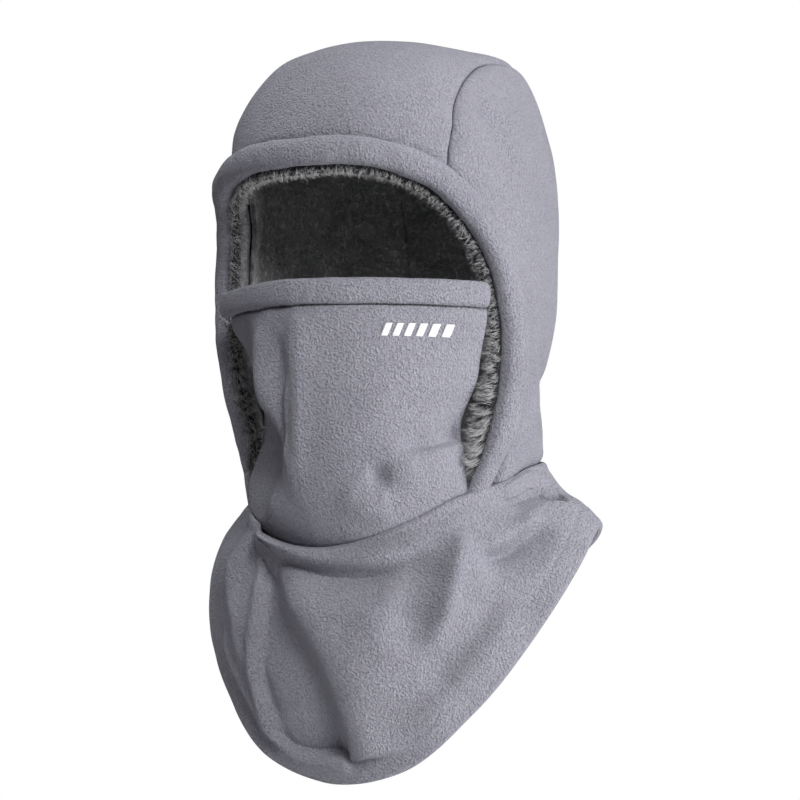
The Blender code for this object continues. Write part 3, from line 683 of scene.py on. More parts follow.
def fleece_material(name, tone):
    """Brushed polar fleece: curly pills about a millimetre across with finer fibres on them."""
    n = Nodes(name)
    curls = n.noise(820, 2.0, 0.55, 0.4)
    pits = n.cells(900, 0.6)
    fibres = n.noise(2400, 2.0, 0.6)
    patches = n.noise(30, 4.0, 0.55)
    nap = n.math("SUBTRACT", curls, n.math("MULTIPLY", pits, 0.16))
    nap = n.math("ADD", nap, n.math("MULTIPLY", fibres, 0.22))
    dark, light = tuple(0.80 * c for c in tone), tuple(1.17 * c for c in tone)
    base = n.ramp(nap, ((0.36, dark), (0.52, tone), (0.70, light)))
    uneven = n.ramp(patches, ((0.30, (0.94, 0.94, 0.95)), (0.70, (1.05, 1.05, 1.04))))
    n.colour(n.mix(1.0, base, uneven, "MULTIPLY"))
    n.bump(nap, 0.0026, 1.0)
    n.set(Roughness=1.0, Specular_IOR_Level=0.10, Sheen_Weight=0.22, Sheen_Roughness=0.45,
          Sheen_Tint=(0.88, 0.88, 1.0, 1.0))
    return n.mat


def plush_material(name, tone):
    """Dark plush with a deep, uneven pile."""
    n = Nodes(name)
    pile = n.noise(330, 4.0, 0.65, 1.2)
    nap = n.noise(45, 3.0, 0.6, 0.8)
    dark, light = tuple(0.55 * c for c in tone), tuple(2.1 * c for c in tone)
    base = n.ramp(pile, ((0.32, dark), (0.55, tone), (0.75, light)))
    uneven = n.ramp(nap, ((0.30, (0.75, 0.75, 0.76)), (0.70, (1.3, 1.3, 1.3))))
    n.colour(n.mix(1.0, base, uneven, "MULTIPLY"))
    n.bump(n.math("ADD", pile, n.math("MULTIPLY", nap, 0.5)), 0.0024, 0.9)
    n.set(Roughness=1.0, Specular_IOR_Level=0.1, Sheen_Weight=0.12, Sheen_Roughness=0.6)
    return n.mat


def fur_material(name, root, middle, tip):
    """Pile that is dark at the root and silver at the tip, by a value stored on each strand."""
    n = Nodes(name)
    node = n.tree.nodes.new("ShaderNodeAttribute")
    node.attribute_name = "strand"
    n.colour(n.ramp(node.outputs["Fac"], ((0.0, root), (0.45, middle), (1.0, tip))))
    n.set(Roughness=0.55, Specular_IOR_Level=0.35, Sheen_Weight=0.15)
    return n.mat


def thread_material(name, tone):
    """Twisted sewing thread."""
    n = Nodes(name)
    twist = n.noise(2600, 2.0, 0.5)
    n.colour(n.ramp(twist, ((0.3, tuple(0.7 * c for c in tone)), (0.7, tone))))
    n.bump(twist, 0.0002, 0.6)
    n.set(Roughness=0.7, Specular_IOR_Level=0.3)
    return n.mat


def badge_material(name):
    """White film with a fine grain."""
    n = Nodes(name)
    grain = n.noise(900, 3.0, 0.6)
    n.colour(n.ramp(grain, ((0.3, (0.74, 0.74, 0.76)), (0.7, (0.88, 0.88, 0.90)))))
    n.bump(grain, 0.0002, 0.5)
    n.set(Roughness=0.5, Specular_IOR_Level=0.4)
    return n.mat


def webbing_material(name, tone, rib):
    """Woven or knitted tape with ribs across it."""
    n = Nodes(name)
    wave = n.tree.nodes.new("ShaderNodeTexWave")
    wave.bands_direction = "Z"
    wave.inputs["Scale"].default_value = rib
    n.tree.links.new(n.place, wave.inputs["Vector"])
    yarn = n.math("ADD", wave.outputs["Fac"], n.math("MULTIPLY", n.noise(1500, 2.0), 0.5))
    n.colour(n.ramp(yarn, ((0.2, tuple(0.6 * c for c in tone)), (1.0, tone))))
    n.bump(yarn, 0.0003, 0.7)
    n.set(Roughness=0.8, Specular_IOR_Level=0.2)
    return n.mat


GREY = (0.335, 0.332, 0.385)
FLEECE_MAT = fleece_material("grey fleece", GREY)
PLUSH_MAT = plush_material("dark plush", (0.42, 0.42, 0.43))
FUR_BASE_MAT = plush_material("fur backing", (0.050, 0.050, 0.054))
FUR_MAT = fur_material("frosted fur", (0.040, 0.040, 0.043), (0.50, 0.50, 0.51), (1.0, 1.0, 1.0))
THREAD_MAT = thread_material("grey thread", (0.16, 0.16, 0.18))
BADGE_MAT = badge_material("white film")
ELASTIC_MAT = webbing_material("elastic webbing", (0.08, 0.08, 0.085), 320)
LABEL_MAT = webbing_material("label tape", (0.70, 0.70, 0.69), 900)


# ---------------------------------------------------------------- where the folds lie
def hood_folds(folds):
    """The shallow folds of the hood's panels, from the brow round to the nape."""
    folds.uneven(0.055, 0.0012, 3.1)
    folds.uneven(0.020, 0.00045, 8.7)
    folds.ridge(((70, -38, -30), (77, -29, -44), (81, -22, -60), (84, -16, -80)), -0.0026, 0.0065)
    folds.ridge(((66, -52, -40), (76, -46, -64), (82, -40, -90)), 0.0020, 0.0100)
    folds.ridge(((67, -62, -66), (73, -56, -82), (78, -50, -98)), 0.0016, 0.0060)
    folds.ridge(((40, 88, -196), (0, 95, -190), (-40, 88, -197)), -0.0030, 0.0075)
    folds.ridge(((60, 68, -212), (0, 83, -206), (-60, 68, -213)), 0.0018, 0.0060)
    folds.ridge(((82, 8, -160), (78, 40, -182), (56, 78, -194)), -0.0022, 0.0080)
    folds.ridge(((-82, 8, -164), (-78, 40, -184), (-56, 78, -196)), -0.0022, 0.0080)
    folds.ridge(((84, 0, -196), (78, 30, -206), (64, 56, -214)), 0.0016, 0.0070)


def cape_folds(folds):
    """The folds of both capes. A fold shapes only the cape that it lies on."""
    folds.uneven(0.050, 0.0013, 5.3)
    folds.uneven(0.018, 0.00045, 2.2)
    # the roll below the neck seam, and the shadow under it
    folds.tuck(((66, -58, -271), (47, -72, -278), (22, -80, -281), (-3, -81, -280),
                (-21, -77, -276), (-34, -73, -270), (-48, -66, -261)), 0.0060, 0.0130, 0.0080,
               0.0260, 0.0026, 0.0026, (0.35, 0.05))
    # the deep crease on the wearer's left shoulder, the softer one below it, and the puff between
    folds.tuck(((99, 16, -234), (94, 7, -234), (91, -2, -236), (88, -13, -241), (83, -27, -249)),
               0.0044, 0.0085, 0.0075, 0.0140, 0.0009, 0.0026, (0.02, 0.30))
    folds.tuck(((102, -5, -257), (95, -18, -264), (89, -30, -272), (85, -37, -275),
                (76, -48, -276)), 0.0050, 0.0090, 0.0090, 0.0200, 0.0026, 0.0, (0.3, 0.3))
    folds.ridge(((99, 16, -234), (94, 7, -234), (91, -2, -236), (88, -13, -241), (83, -27, -249)),
                -0.0050, 0.0030, (0.02, 0.40))
    folds.ridge(((95, -16, -264), (89, -30, -272), (84, -38, -276), (76, -48, -277)),
                -0.0030, 0.0045, (0.3, 0.3))
    # the thin bright ridge that comes down from there, and the hollow on its right
    folds.ridge(((73, -50, -262), (70, -57, -287), (66, -61, -308), (60, -64, -328)),
                0.0048, 0.0048, (0.2, 0.4))
    folds.ridge(((60, -62, -272), (54, -69, -304), (44, -73, -330)), -0.0040, 0.0090)
    # the great fold down the wearer's right: its proud edge, the hollow, and the lit front of it
    folds.tuck(((13, -69, -386), (10, -73, -366), (4, -79, -343), (-4, -82, -324), (-15, -82, -307),
                (-27, -78, -291), (-40, -72, -279), (-54, -63, -268)),
               0.0120, 0.0150, 0.0240, 0.0360, 0.0120, 0.0, (0.03, 0.10))
    folds.tuck(((-49, -70, -270), (-43, -72, -282), (-39, -74, -302), (-39, -72, -323),
                (-41, -69, -342), (-38, -67, -357), (-33, -64, -373)),
               0.0045, 0.0050, 0.0070, 0.0300, 0.0016, 0.0012, (0.10, 0.10))
    folds.tuck(((-31, -62, -381), (-41, -62, -374), (-54, -60, -356), (-71, -50, -331),
                (-80, -44, -312)), 0.0032, 0.0040, 0.0080, 0.0110, 0.0028, 0.0, (0.1, 0.3))
    folds.ridge(((-70, -50, -266), (-66, -60, -298), (-59, -66, -321), (-48, -69, -348)),
                0.0022, 0.0060)
    folds.ridge(((-82, -40, -272), (-80, -50, -300), (-72, -56, -330)), -0.0020, 0.0110)
    folds.ridge(((-78, -30, -258), (-88, -34, -284), (-88, -40, -306)), 0.0018, 0.0080)
    # the hem's upper edge where the cloth dips before it
    folds.tuck(((-40, -64, -366), (-26, -66, -381), (-6, -68, -386), (14, -67, -386)),
               0.0022, 0.0050, 0.0060, 0.0220, 0.0012, 0.0010, (0.25, 0.04))
    # broad, shallow waves of the chest
    folds.ridge(((42, -76, -300), (34, -78, -326), (26, -74, -356)), 0.0030, 0.0150)
    folds.ridge(((98, -28, -300), (86, -44, -324), (66, -56, -352), (44, -62, -376)),
                0.0026, 0.0080)
    folds.ridge(((88, -38, -290), (76, -52, -318), (54, -64, -348)), -0.0028, 0.0085)
    folds.ridge(((78, -46, -262), (80, -50, -290), (70, -58, -318)), 0.0016, 0.0070)
    # the nape
    folds.ridge(((0, 84, -256), (0, 87, -285), (2, 90, -312)), 0.0030, 0.0110)
    folds.ridge(((40, 76, -252), (46, 80, -276), (52, 84, -298)), -0.0028, 0.0090)
    folds.ridge(((-38, 76, -252), (-47, 80, -276), (-56, 82, -298)), -0.0028, 0.0090)
    folds.ridge(((-74, 52, -240), (-88, 54, -256), (-100, 55, -268)), 0.0022, 0.0080)
    folds.ridge(((76, 52, -240), (90, 54, -256), (100, 54, -268)), 0.0022, 0.0080)


def mask_folds(folds):
    """The ridges, the crease and the dimple of the mask."""
    folds.uneven(0.045, 0.0008, 1.4)
    folds.uneven(0.016, 0.0004, 6.0)
    folds.ridge(((3, -102, -147), (3, -102, -176), (2, -99, -202), (-1, -94, -222),
                 (-4, -84, -252)), 0.0024, 0.0060, (0.08, 0.2), 0.6)
    folds.ridge(((-12, -101, -156), (-11, -100, -188), (-10, -94, -215), (-9, -91, -228)),
                -0.0030, 0.0050)
    folds.ridge(((-22, -97, -152), (-27, -93, -172), (-25, -93, -190), (-18, -95, -206)),
                0.0022, 0.0050)
    folds.ridge(((-5, -101, -184), (-8, -98, -201), (-9, -94, -218), (-10, -91, -232)),
                0.0016, 0.0022)
    folds.tuck(((44, -75, -225), (53, -63, -223), (58, -51, -221), (64, -38, -217)),
               0.0028, 0.0042, 0.0090, 0.0150, 0.0022, 0.0006, (0.4, 0.05))
    folds.ridge(((31, -80, -237), (37, -77, -236), (43, -73, -235)), -0.0042, 0.0046,
                (0.45, 0.45))
    folds.ridge(((30, -84, -224), (46, -74, -227), (48, -69, -236), (46, -68, -246)),
                0.0022, 0.0055, (0.4, 0.3))
    folds.ridge(((20, -86, -240), (30, -80, -249), (42, -71, -249)), 0.0016, 0.0060)


# ---------------------------------------------------------------- the sewn panels
def settled(height, lowered=9, smoothed=6):
    """A grid of heights brought down to the bottoms of its folds and smoothed out, for the
    lining that lies loosely behind them."""
    for k in range(lowered + smoothed):
        wide = np.pad(height, 1, mode="edge")
        beside = wide[:-2, 1:-1], wide[2:, 1:-1], wide[1:-1, :-2], wide[1:-1, 2:]
        height = np.minimum.reduce(beside + (height,)) if k < lowered else sum(beside) / 4
    return height


def steady(normals, guide):
    """The normals, with the guide's in the few places where a grid's own turn over."""
    agree = (normals * guide).sum(axis=-1, keepdims=True)
    return np.where(agree < 0.0, guide, normals)


def sewn(name, folds, thickness=FLEECE, soft_edge=SEAM_ROUND, seed=1.0, sunk=0.0, short=0):
    """A folded fleece panel, and the plush lining that follows it loosely inside: sunk deeper
    where something else covers it, and ending a few rows short of the bottom edge."""
    laid = folds.laid()
    out = steady(grid_normals(laid), folds.normals)
    outer = cloth(name + "_fleece", laid, out, thickness, FLEECE_MAT, soft_edge)
    calm = np.minimum(settled(folds.height), folds.height)
    lumps = waves(folds.grid, 0.011, 0.0006, seed)
    deep = calm + np.minimum(lumps, 0.0004) - FLEECE - LAYER_GAP - sunk
    rows = len(deep) - short
    under = (folds.grid + folds.normals * deep[..., None])[:rows:2, ::2]
    out = steady(grid_normals(under), folds.normals[:rows:2, ::2])
    inner = cloth(name + "_plush", under, out, LINING, PLUSH_MAT)
    return outer, inner, laid


def make_hood(seams):
    """The two side panels and the crown panel, each with its lining."""
    left = side_grid(seams, 121, 181)
    grids = (("left_side", left), ("right_side", other_side(left)),
             ("crown", crown_grid(seams, 97, 281)))
    for seed, (name, grid) in enumerate(grids):
        folds = Folds(worn(grid))
        folds.normals = steady(folds.normals, hood_normal(grid))
        hood_folds(folds)
        edges = edge_distances(folds.grid)
        folds.height += pucker(folds.grid, np.minimum.reduce(edges), seed)
        binding = edges[2] if name == "crown" else edges[0]
        folds.height -= BINDING_CREASE * np.exp(
            -((binding - UNDER_BINDING) / BINDING_CREASE_REACH) ** 2)
        folds.height -= 0.5 * NECK_TUCK * smooth((0.0095 - edges[3]) / 0.007)
        sunk = 0.0020 * smooth((0.016 - edges[3]) / 0.010)
        outer, inner, _ = sewn(name, folds, seed=seed, sunk=sunk)
        finished(outer, (name + "_panel",), "hood")
        finished(inner, (name + "_lining",), "hood")


def make_capes(seams):
    """The front and back cape with their linings, hems and threads."""
    for name, first, last, columns, rows, seed in (
        ("front", -SHOULDER, SHOULDER, 301, 161, 4.0),
        ("back", SHOULDER, 16.0 - SHOULDER, 161, 91, 5.0),
    ):
        folds = Folds(worn(cape_grid(seams, first, last, columns, rows)))
        left, right, top, bottom = edge_distances(folds.grid)
        cape_folds(folds)
        folds.height += pucker(folds.grid, np.minimum.reduce((left, right, top)), seed)
        folds.height -= HEM_GROOVE * np.exp(-((bottom - HEM_WIDTH) / HEM_GROOVE_REACH) ** 2)
        hem = HEM_THICKER * smooth((HEM_WIDTH - bottom) / 0.004)
        folds.height *= smooth(top / 0.004)
        folds.height = np.maximum(folds.height, -0.7 * np.maximum(top - 0.006, 0.0))
        folds.height += 0.0008 * smooth((0.006 - top) / 0.004)
        outer, inner, laid = sewn(name + "_cape", folds, FLEECE + hem, soft_edge=0.0032,
                                  seed=seed, sunk=0.5 * hem, short=CAPE_LINING_SHORT)
        make_cape_threads(name, laid, bottom)
        finished(outer, (name + "_cape", name + "_hem"), "hood")
        finished(inner, (name + "_cape_lining",), "hood")


def make_mask(seams):
    """The mask and its lining."""
    folds = Folds(worn(mask_grid(seams, 201, 141)))
    _, _, top, bottom = edge_distances(folds.grid)
    mask_folds(folds)
    folds.height += pucker(folds.grid, np.minimum(top, bottom), 6.0)
    folds.height *= smooth(bottom / 0.008)
    folds.height -= 0.4 * NECK_TUCK * smooth((0.0050 - bottom) / 0.004)
    outer, inner, laid = sewn("mask", folds, soft_edge=0.0020, seed=6.0)
    for thing, node, slot_name, late in (
        (outer, "mask_panel", "outer_fleece", 0.0),
        (inner, "mask_lining", "plush_lining", LINING_LATE),
    ):
        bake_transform(thing)
        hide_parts(node)
    make_badge(laid)


def make_mask_hem():
    """The rolled casing along the mask's top edge, with its elastic."""
    middle = (np.array(MASK_ROWS[0]) + np.array(MASK_ROWS[1])) / 2
    path = worn(mask_row(middle, np.linspace(MASK_HEM_START, 0.994, 281)))
    along = unit(np.gradient(path, axis=0))
    out = unit(np.cross(along, (0.0, 0.0, 1.0)))
    out = np.where(out[:, 1:2] > 0, -out, out)
    up = unit(np.cross(out, along))
    up = np.where(up[:, 2:3] < 0, -up, up)
    shape = oval(0.0068, 0.0032, 44, 2.7)
    rings = rings_along(path, up, out, shape, rounded_ends(path, 0.0040))
    spread = unit(rings - path[:, None])
    rings = rings + spread * (waves(rings, 0.014, 0.0004, 2.4) + waves(rings, 0.006, 0.0002, 7.0)
                              )[..., None]
    hem = loft("mask_hem_casing", rings, FLEECE_MAT)
    make_elastic(path, up, out)
    finished(hem, ("mask_hem",), "mask")


def make_binding(seams):
    """The puffy fleece roll round the face opening."""
    run = lengths(seams.edge)
    near_end = smooth(np.minimum(run, run[-1] - run) / 0.045)
    wide = 0.5 * BINDING_WIDTH * (0.72 + 0.28 * near_end)
    thick = 0.5 * BINDING_THICKNESS * (0.66 + 0.34 * near_end)
    path = seams.edge - seams.inward * wide[:, None]
    path = worn(path + seams.out * (0.0032 * near_end - 0.0022 * (1 - near_end))[:, None])
    shape = oval(1.0, 1.0, 44, 2.2)
    rings = (path[:, None] + seams.inward[:, None] * (shape[None, :, :1] * wide[:, None, None])
             + seams.out[:, None] * (shape[None, :, 1:] * thick[:, None, None]))
    spread = unit(rings - path[:, None])
    puff = waves(rings, 0.018, 0.0007, 4.4) + waves(rings, 0.007, 0.0003, 9.1)
    rings = rings + spread * puff[..., None]
    binding = loft("face_binding_roll", rings, FLEECE_MAT)
    finished(binding, ("face_binding",), "hood")


# ---------------------------------------------------------------- fur
CLUMP_PITCH = 0.0026       # from tuft to tuft along the edge
FUR_ROWS = 4               # rows of tufts side by side
FUR_ENDS = 14              # stations of the opening's edge left bare at each end
STRANDS_PER_CLUMP = 14
STRAND_WIDTH = 0.00021
STRAND_RINGS = ((0.0, 1.0), (0.38, 0.85), (0.74, 0.55))   # share of the length, share of width


def strand_faces(count, size):
    """Faces of three-sided strands, each of the given number of points with its tip last."""
    pattern = [(2, 1, 0)]
    for k in range(len(STRAND_RINGS) - 1):
        for j in range(3):
            m = (j + 1) % 3
            pattern.append((3 * k + j, 3 * k + m, 3 * k + 3 + m, 3 * k + 3 + j))
    last = 3 * (len(STRAND_RINGS) - 1)
    pattern += [(last + j, last + (j + 1) % 3, size - 1) for j in range(3)]
    return [tuple(base + v for v in f) for base in range(0, count * size, size) for f in pattern]


def make_fur(seams):
    """The frosted fur inside the binding: tufts of tapered strands on a dark backing."""
    rng = np.random.default_rng(11)
    ends = slice(FUR_ENDS, -FUR_ENDS)
    edge, inward, outward_way = seams.edge[ends], seams.inward[ends], seams.out[ends]
    run = lengths(edge)
    root_line = worn(edge - outward_way * 0.0040 - inward * 0.0020)
    along = unit(np.gradient(root_line, axis=0))
    shape = oval(0.0046, 0.0030, 20, 2.2)
    rings = rings_along(root_line, inward, outward_way, shape, rounded_ends(root_line, 0.004))
    rings = rings + unit(rings - root_line[:, None]) * waves(rings, 0.005, 0.0007, 3.0)[..., None]
    backing = loft("fur_backing", rings, FUR_BASE_MAT)
    finished(backing, ("fur_trim",), "hood")

    per_row = int(run[-1] / CLUMP_PITCH)
    clump_at, clump_row = np.meshgrid(np.arange(per_row), np.arange(FUR_ROWS))
    clump_at, clump_row = clump_at.ravel(), clump_row.ravel()
    place = (clump_at + 0.5 * (clump_row % 2) + rng.uniform(-0.25, 0.25, len(clump_at))) / per_row
    place = np.clip(place, 0.004, 0.996)
    tall = (clump_row + 0.5) / FUR_ROWS * 2 - 1       # -1 at the head's side, 1 at the binding

    def at(values, shares):
        return np.stack([np.interp(shares * run[-1], run, values[:, k]) for k in range(3)], axis=1)

    low = np.clip((-root_line[:, 2] - 0.135) / 0.09, 0.0, 1.0)
    low = np.interp(place * run[-1], run, low)
    length = (0.0050 + 0.0076 * low) * rng.uniform(0.85, 1.15, len(place))
    to_middle, to_out, to_along = at(inward, place), at(outward_way, place), at(along, place)
    down = np.array((0.0, 0.0, -1.0))
    aim = (to_middle * (1.0 + 0.1 * rng.standard_normal(len(place)))[:, None]
           + to_out * (-0.42 + 0.42 * tall + 0.15 * rng.standard_normal(len(place)))[:, None]
           + to_along * ((0.25 + 0.20 * low) * rng.standard_normal(len(place)))[:, None]
           + down * (0.7 * low)[:, None])
    tips = at(root_line, place) + to_out * (0.0022 * tall)[:, None] + unit(aim) * length[:, None]

    many = STRANDS_PER_CLUMP
    clump = np.repeat(np.arange(len(place)), many)
    count = len(clump)
    spot = np.clip(place[clump] + rng.uniform(-0.62, 0.62, count) / per_row, 0.002, 0.998)
    root = (at(root_line, spot)
            + at(outward_way, spot) * (0.0024 * (tall[clump] + rng.uniform(-0.35, 0.35, count))
                                     )[:, None]
            + at(inward, spot) * (rng.uniform(-0.001, 0.0035, count))[:, None])
    spread = rng.standard_normal((count, 3)) * 0.00120
    tip = root + (tips[clump] - root) * rng.uniform(0.80, 1.12, count)[:, None] + spread
    rise = at(outward_way, spot) * (0.0016 + 0.0016 * tall[clump])[:, None]
    bend = (root + tip) / 2 + rise + rng.standard_normal((count, 3)) * 0.0008
    way = unit(tip - root)
    side = unit(np.cross(way, rng.standard_normal((count, 3))))
    third = np.cross(way, side)
    turn = np.arange(3) * 2 * math.pi / 3
    round_it = (np.cos(turn)[None, :, None] * side[:, None]
                + np.sin(turn)[None, :, None] * third[:, None])
    width = STRAND_WIDTH * rng.uniform(0.75, 1.25, count)
    levels, tones = [], []
    shine = rng.uniform(0.45, 1.0, count)
    for share, full in STRAND_RINGS:
        centre = ((1 - share)**2 * root.T + 2 * share * (1 - share) * bend.T + share**2 * tip.T).T
        levels.append(centre[:, None] + round_it * (width * full)[:, None, None])
        tones.append(np.repeat((share * shine)[:, None], 3, axis=1))
    levels.append(tip[:, None])
    tones.append(shine[:, None])
    verts = np.concatenate(levels, axis=1)
    tone = np.concatenate(tones, axis=1)
    faces = strand_faces(count, verts.shape[1])
    fur = add_mesh("fur_strands", verts.reshape(-1, 3), faces, FUR_MAT)
    values = fur.data.attributes.new("strand", "FLOAT", "POINT")
    values.data.foreach_set("value", tone.ravel().astype(np.float32))
    finished(fur, ("fur_trim",), "hood")


# ---------------------------------------------------------------- threads, badge and label
SEAM_END = 6               # points left bare at each end of a sewn line
FACING_END = 8             # and at each end of the facing


def make_allowances(seams):
    """The turned-in edges of the panels, which fill the seams from inside."""
    for name, line, node in (("left_crown", seams.crown, "left_side_lining"),
                             ("right_crown", other_side(seams.crown), "right_side_lining")):
        out = hood_normal(line)[::6]
        line = worn(line)[::6]
        side = unit(np.cross(np.gradient(line, axis=0), out))
        line = line - out * (SEAM_DRAW + FLEECE + 0.0014)
        rings = rings_along(line, side, out, oval(0.0026, 0.0016, 12, 2.2), np.ones(len(line)))
        rings = rings[SEAM_END:-SEAM_END]
        finished(loft(name + "_seam_allowance", rings, PLUSH_MAT), (node,), "hood")


def make_opening_facing(seams):
    """The strip of plush that joins the linings to the fur inside the face opening."""
    ends = slice(FACING_END, -FACING_END)
    inward, out = seams.inward[ends], seams.out[ends]
    line = worn(seams.edge[ends] - inward * 0.0080 - out * 0.0068)
    rings = rings_along(line, inward, out, oval(0.0070, 0.0016, 16, 2.4), rounded_ends(line, 0.003))
    facing = loft("opening_facing", rings, PLUSH_MAT)
    finished(facing, ("crown_lining",), "hood")


BAR_COUNT = 6
BAR_SLANT = 0.0020         # how far the top of a bar leans to the wearer's left
FILM = 0.0003              # thickness of the white film
FILM_GAP = 0.0001          # between the cloth and the film


def make_badge(ground):
    """A plain mark of slanted bars in white film, in the film's place on the mask's cloth."""
    low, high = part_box("mask_badge")
    cloth_points = ground.reshape(-1, 3)
    cloth_normals = grid_normals(ground).reshape(-1, 3)
    pitch = (high.x - low.x - BAR_SLANT) / (BAR_COUNT - 0.4)
    across, rise = np.meshgrid(np.linspace(0.0, 0.6 * pitch, 6), np.linspace(0.0, 1.0, 9))
    index = np.arange(across.size).reshape(across.shape)
    verts, faces = [], []
    for k in range(BAR_COUNT):
        x = low.x + pitch * k + across + BAR_SLANT * rise
        z = low.z + (high.z - low.z) * rise
        for shown in (True, False):
            base = len(verts)
            for px, pz in zip(x.ravel(), z.ravel()):
                gap = (cloth_points[:, 0] - px)**2 + (cloth_points[:, 2] - pz)**2
                near = np.argsort(gap + 10 * (cloth_points[:, 1] > -0.03))[:4]
                weight = 1 / (gap[near] + 1e-9)
                spot = weight @ cloth_points[near] / weight.sum()
                out = unit(weight @ cloth_normals[near])
                plane = spot[1] - ((px - spot[0]) * out[0] + (pz - spot[2]) * out[2]) / out[1]
                verts.append(np.array((px, plane, pz)) + out * (FILM_GAP + FILM * shown))
            for j in range(8):
                for i in range(5):
                    quad = (base + index[j, i], base + index[j, i + 1],
                            base + index[j + 1, i + 1], base + index[j + 1, i])
                    faces.append(quad if shown else quad[::-1])
        rim = np.concatenate((index[0], index[1:, -1], index[-1, -2::-1], index[-2:0:-1, 0]))
        for a, b in zip(rim, np.roll(rim, -1)):
            faces.append((base + a, base + b, base - index.size + b, base - index.size + a))
    badge = outward(add_mesh("mask_badge_bars", verts, faces, BADGE_MAT))
    finished(badge, ("mask_badge",), "mask")


def sunk_stitches(name, line, out, node, body, sink):
    """Stitches along a line of a cloth's surface, drawn into it by the given depth."""
    inside = slice(SEAM_END, -SEAM_END)
    thing = stitches(name, (line - out * sink)[inside], out[inside], THREAD_MAT)
    return finished(thing, (node,), body)


def across_grid(grid, distance, reach):
    """The line of a grid that lies a given way in from its bottom edge, and its normals."""
    level = (distance > reach).sum(axis=0) - 1
    column = np.arange(grid.shape[1])
    above = distance[level, column]
    under = np.minimum(level + 1, len(grid) - 1)
    below = distance[under, column]
    share = np.clip((above - reach) / np.maximum(above - below, 1e-6), 0, 1)[:, None]
    normals = grid_normals(grid)
    line = grid[level, column] * (1 - share) + grid[under, column] * share
    return line, unit(normals[level, column])


def make_cape_threads(name, laid, bottom):
    """The row of stitches above a cape's hem, and those of the shoulder seams."""
    line, out = across_grid(laid, bottom, HEM_WIDTH)
    sunk_stitches(name + "_hem_stitches", line, out, name + "_hem_thread", "hood", 0.0004)
    if name == "front":
        for column in (0, -1):
            side = "left" if laid[0, column, 0] > 0 else "right"
            sunk_stitches(side + "_shoulder_stitches", laid[:, column],
                          grid_normals(laid)[:, column], side + "_shoulder_thread", "hood",
                          SEAM_DRAW + 0.0012)


def make_elastic(path, across, out):
    """The elastic tape inside the mask's top hem."""
    shape = oval(0.0036, 0.0006, 20, 4.0)
    rings = rings_along(path - out * 0.0006, across, out, shape, np.ones(len(path)))
    elastic = loft("mask_elastic_tape", rings[4:-4], ELASTIC_MAT)
    finished(elastic, ("mask_elastic",), "mask")


def make_bartacks():
    """The close zigzags of thread that hold the two ends of the mask's hem."""
    for side in ("left", "right"):
        low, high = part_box(side + "_bartack")
        middle = (np.array(low) + np.array(high)) / 2
        turn = np.linspace(0.0, 1.0, 25)
        wiggle = 0.0006 * np.where(np.arange(25) % 2, 1.0, -1.0)
        way = unit(np.array((high.x - low.x, 0.0, high.z - low.z)))
        path = middle + np.outer(turn - 0.5, way) * 0.0030
        path[:, 1] += wiggle
        out = np.tile((1.0 if side == "left" else -1.0, 0.0, 0.0), (25, 1))
        across = unit(np.cross(np.gradient(path, axis=0), out))
        rings = rings_along(path, across, out, oval(0.00028, 0.00028, 8, 2.0),
                            rounded_ends(path, 0.0003))
        finished(loft(side + "_bartack_thread", rings, THREAD_MAT), (side + "_bartack",), "hood")


def make_label():
    """The plain care label hanging in the nape."""
    low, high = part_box("care_label")
    x, z = np.meshgrid(np.linspace(low.x, high.x, 33), np.linspace(high.z, low.z, 25))
    fall = (high.z - z) / (high.z - low.z)
    y = (low.y + high.y) / 2 - 0.0012 * np.sin(math.pi * (x - low.x) / (high.x - low.x)) * fall
    grid = np.stack((x, y - 0.0012 * fall**2, z), axis=-1)
    label = cloth("care_label_tape", grid, grid_normals(grid), 0.0004, LABEL_MAT, 0.0004)
    finished(label, ("care_label",), "hood")


def make_threads(seams):
    """The stitches of the neck, the crown seams, the binding and the mask's hem."""
    neck = worn(np.concatenate((other_side(seams.neck[:0:-1]), seams.neck)))
    crown = worn(seams.crown)
    rows = (
        ("neck_stitches", neck[::4], "neck_thread"),
        ("left_crown_stitches", crown[::4], "left_crown_thread"),
        ("right_crown_stitches", worn(other_side(seams.crown))[::4], "right_crown_thread"),
    )
    for name, line, node in rows:
        sunk_stitches(name, line, hood_normal(line), node, "hood", SEAM_DRAW + 0.0010)
    under = worn(seams.edge - seams.inward * (BINDING_WIDTH - 0.0012))
    sunk_stitches("binding_stitches", under, seams.out, "binding_thread", "hood", 0.0044)
    hem_row = worn(mask_row(MASK_ROWS[1], np.linspace(MASK_HEM_START + 0.02, 0.985, 281)))
    hem_out = unit(np.cross(np.gradient(hem_row, axis=0), (0.0, 0.0, 1.0)))
    sunk_stitches("mask_hem_stitches", hem_row, hem_out, "mask_hem_thread", "mask", 0.0010)


SEAMS = Seams()
make_hood(SEAMS)
make_capes(SEAMS)
make_mask(SEAMS)
make_mask_hem()
make_binding(SEAMS)
make_fur(SEAMS)
make_threads(SEAMS)
make_allowances(SEAMS)
make_opening_facing(SEAMS)
make_bartacks()
make_label()

# ---------------------------------------------------------------- floor, light and camera
CAMERA_TURN = math.radians(30.0)
CAMERA_AWAY = 1.15
CAMERA_HEIGHT = -0.26
AIM = (0.0043, 0.0025, -0.1914)
LENS = 92.4
FLOOR_HEIGHT = -0.80       # far enough under the object to stay out of the picture
BACKDROP = 1.0             # strength of the white that the camera sees
LIGHT_ABOVE = 0.44         # strength of the light that falls from the sky's top
LIGHT_BELOW = 0.0          # and from under the horizon
LIGHTS = (                 # name, place, width, power
    ("key", (1.50, 0.25, -0.40), 0.9, 24),
    ("front", (1.10, -1.10, 0.50), 0.6, 20),
    ("top", (-0.45, -0.10, 1.20), 0.8, 8),
)


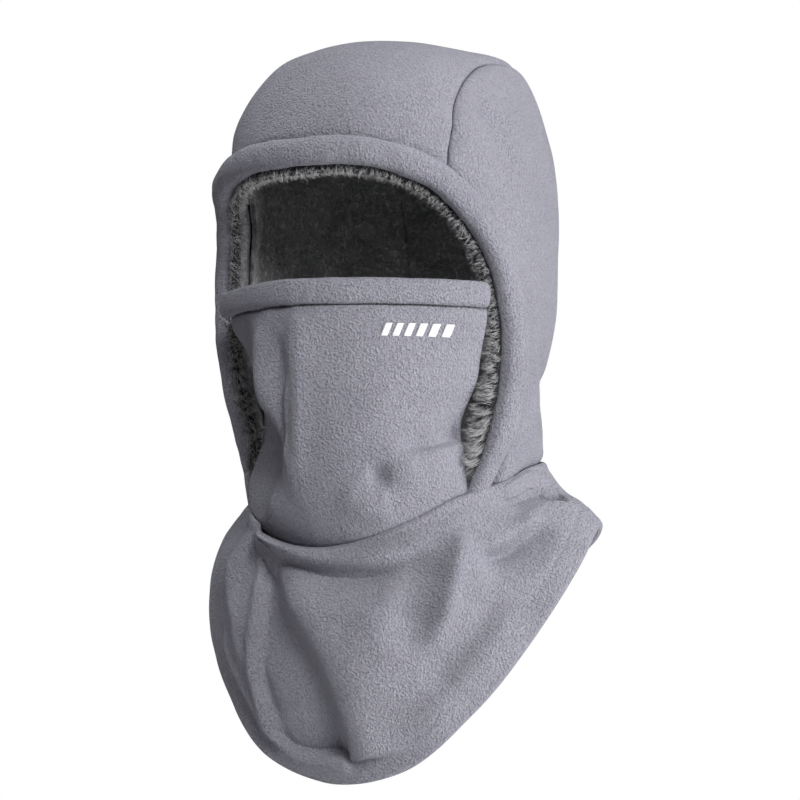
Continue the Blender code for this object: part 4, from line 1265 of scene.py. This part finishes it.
def look_at(thing, target):
    """Turns a camera or a light towards a place."""
    direction = Vector(target) - thing.location
    thing.rotation_euler = direction.to_track_quat("-Z", "Y").to_euler()


def add_camera():
    data = bpy.data.cameras.new("camera")
    data.lens = LENS
    camera = bpy.data.objects.new("camera", data)
    camera.location = (math.sin(CAMERA_TURN) * CAMERA_AWAY, -math.cos(CAMERA_TURN) * CAMERA_AWAY,
                       CAMERA_HEIGHT)
    look_at(camera, AIM)
    bpy.context.scene.collection.objects.link(camera)
    bpy.context.scene.camera = camera


def area_light(name, place, size, power):
    data = bpy.data.lights.new(name, "AREA")
    data.shape = "DISK"
    data.size = size
    data.energy = power
    light = bpy.data.objects.new(name, data)
    light.location = place
    look_at(light, (0.0, 0.0, -0.20))
    bpy.context.scene.collection.objects.link(light)


def add_world(seen, above, below):
    """White to look at, with a dimmer light on the object that is stronger from above."""
    world = bpy.data.worlds.new("studio")
    world.use_nodes = True
    bpy.context.scene.world = world
    tree = world.node_tree
    backdrop = tree.nodes["Background"]
    backdrop.inputs["Color"].default_value = (1, 1, 1, 1)
    backdrop.inputs["Strength"].default_value = seen
    place = tree.nodes.new("ShaderNodeTexCoord")
    split = tree.nodes.new("ShaderNodeSeparateXYZ")
    height = tree.nodes.new("ShaderNodeMapRange")
    for socket, value in (("From Min", -0.1), ("From Max", 1.0), ("To Min", below),
                          ("To Max", above)):
        height.inputs[socket].default_value = value
    tree.links.new(place.outputs["Generated"], split.inputs[0])
    tree.links.new(split.outputs["Z"], height.inputs["Value"])
    fill = tree.nodes.new("ShaderNodeBackground")
    fill.inputs["Color"].default_value = (0.97, 0.98, 1, 1)
    tree.links.new(height.outputs["Result"], fill.inputs["Strength"])
    mix = tree.nodes.new("ShaderNodeMixShader")
    path = tree.nodes.new("ShaderNodeLightPath")
    tree.links.new(path.outputs["Is Camera Ray"], mix.inputs["Fac"])
    tree.links.new(fill.outputs["Background"], mix.inputs[1])
    tree.links.new(backdrop.outputs["Background"], mix.inputs[2])
    tree.links.new(mix.outputs["Shader"], tree.nodes["World Output"].inputs["Surface"])


def add_floor():
    bpy.ops.mesh.primitive_circle_add(
        vertices=96, radius=0.8, fill_type="NGON", location=(0, 0, FLOOR_HEIGHT))
    floor = bpy.context.object
    floor.name = "floor"
    n = Nodes("pale floor")
    n.colour(n.ramp(n.noise(3.0), ((0.3, (0.86, 0.86, 0.86)), (0.7, (0.88, 0.88, 0.88)))))
    n.set(Roughness=0.9)
    floor.data.materials.append(n.mat)


add_floor()
add_world(BACKDROP, LIGHT_ABOVE, LIGHT_BELOW)
for light_values in LIGHTS:
    area_light(*light_values)
add_camera()
bpy.context.scene.view_settings.view_transform = "Standard"
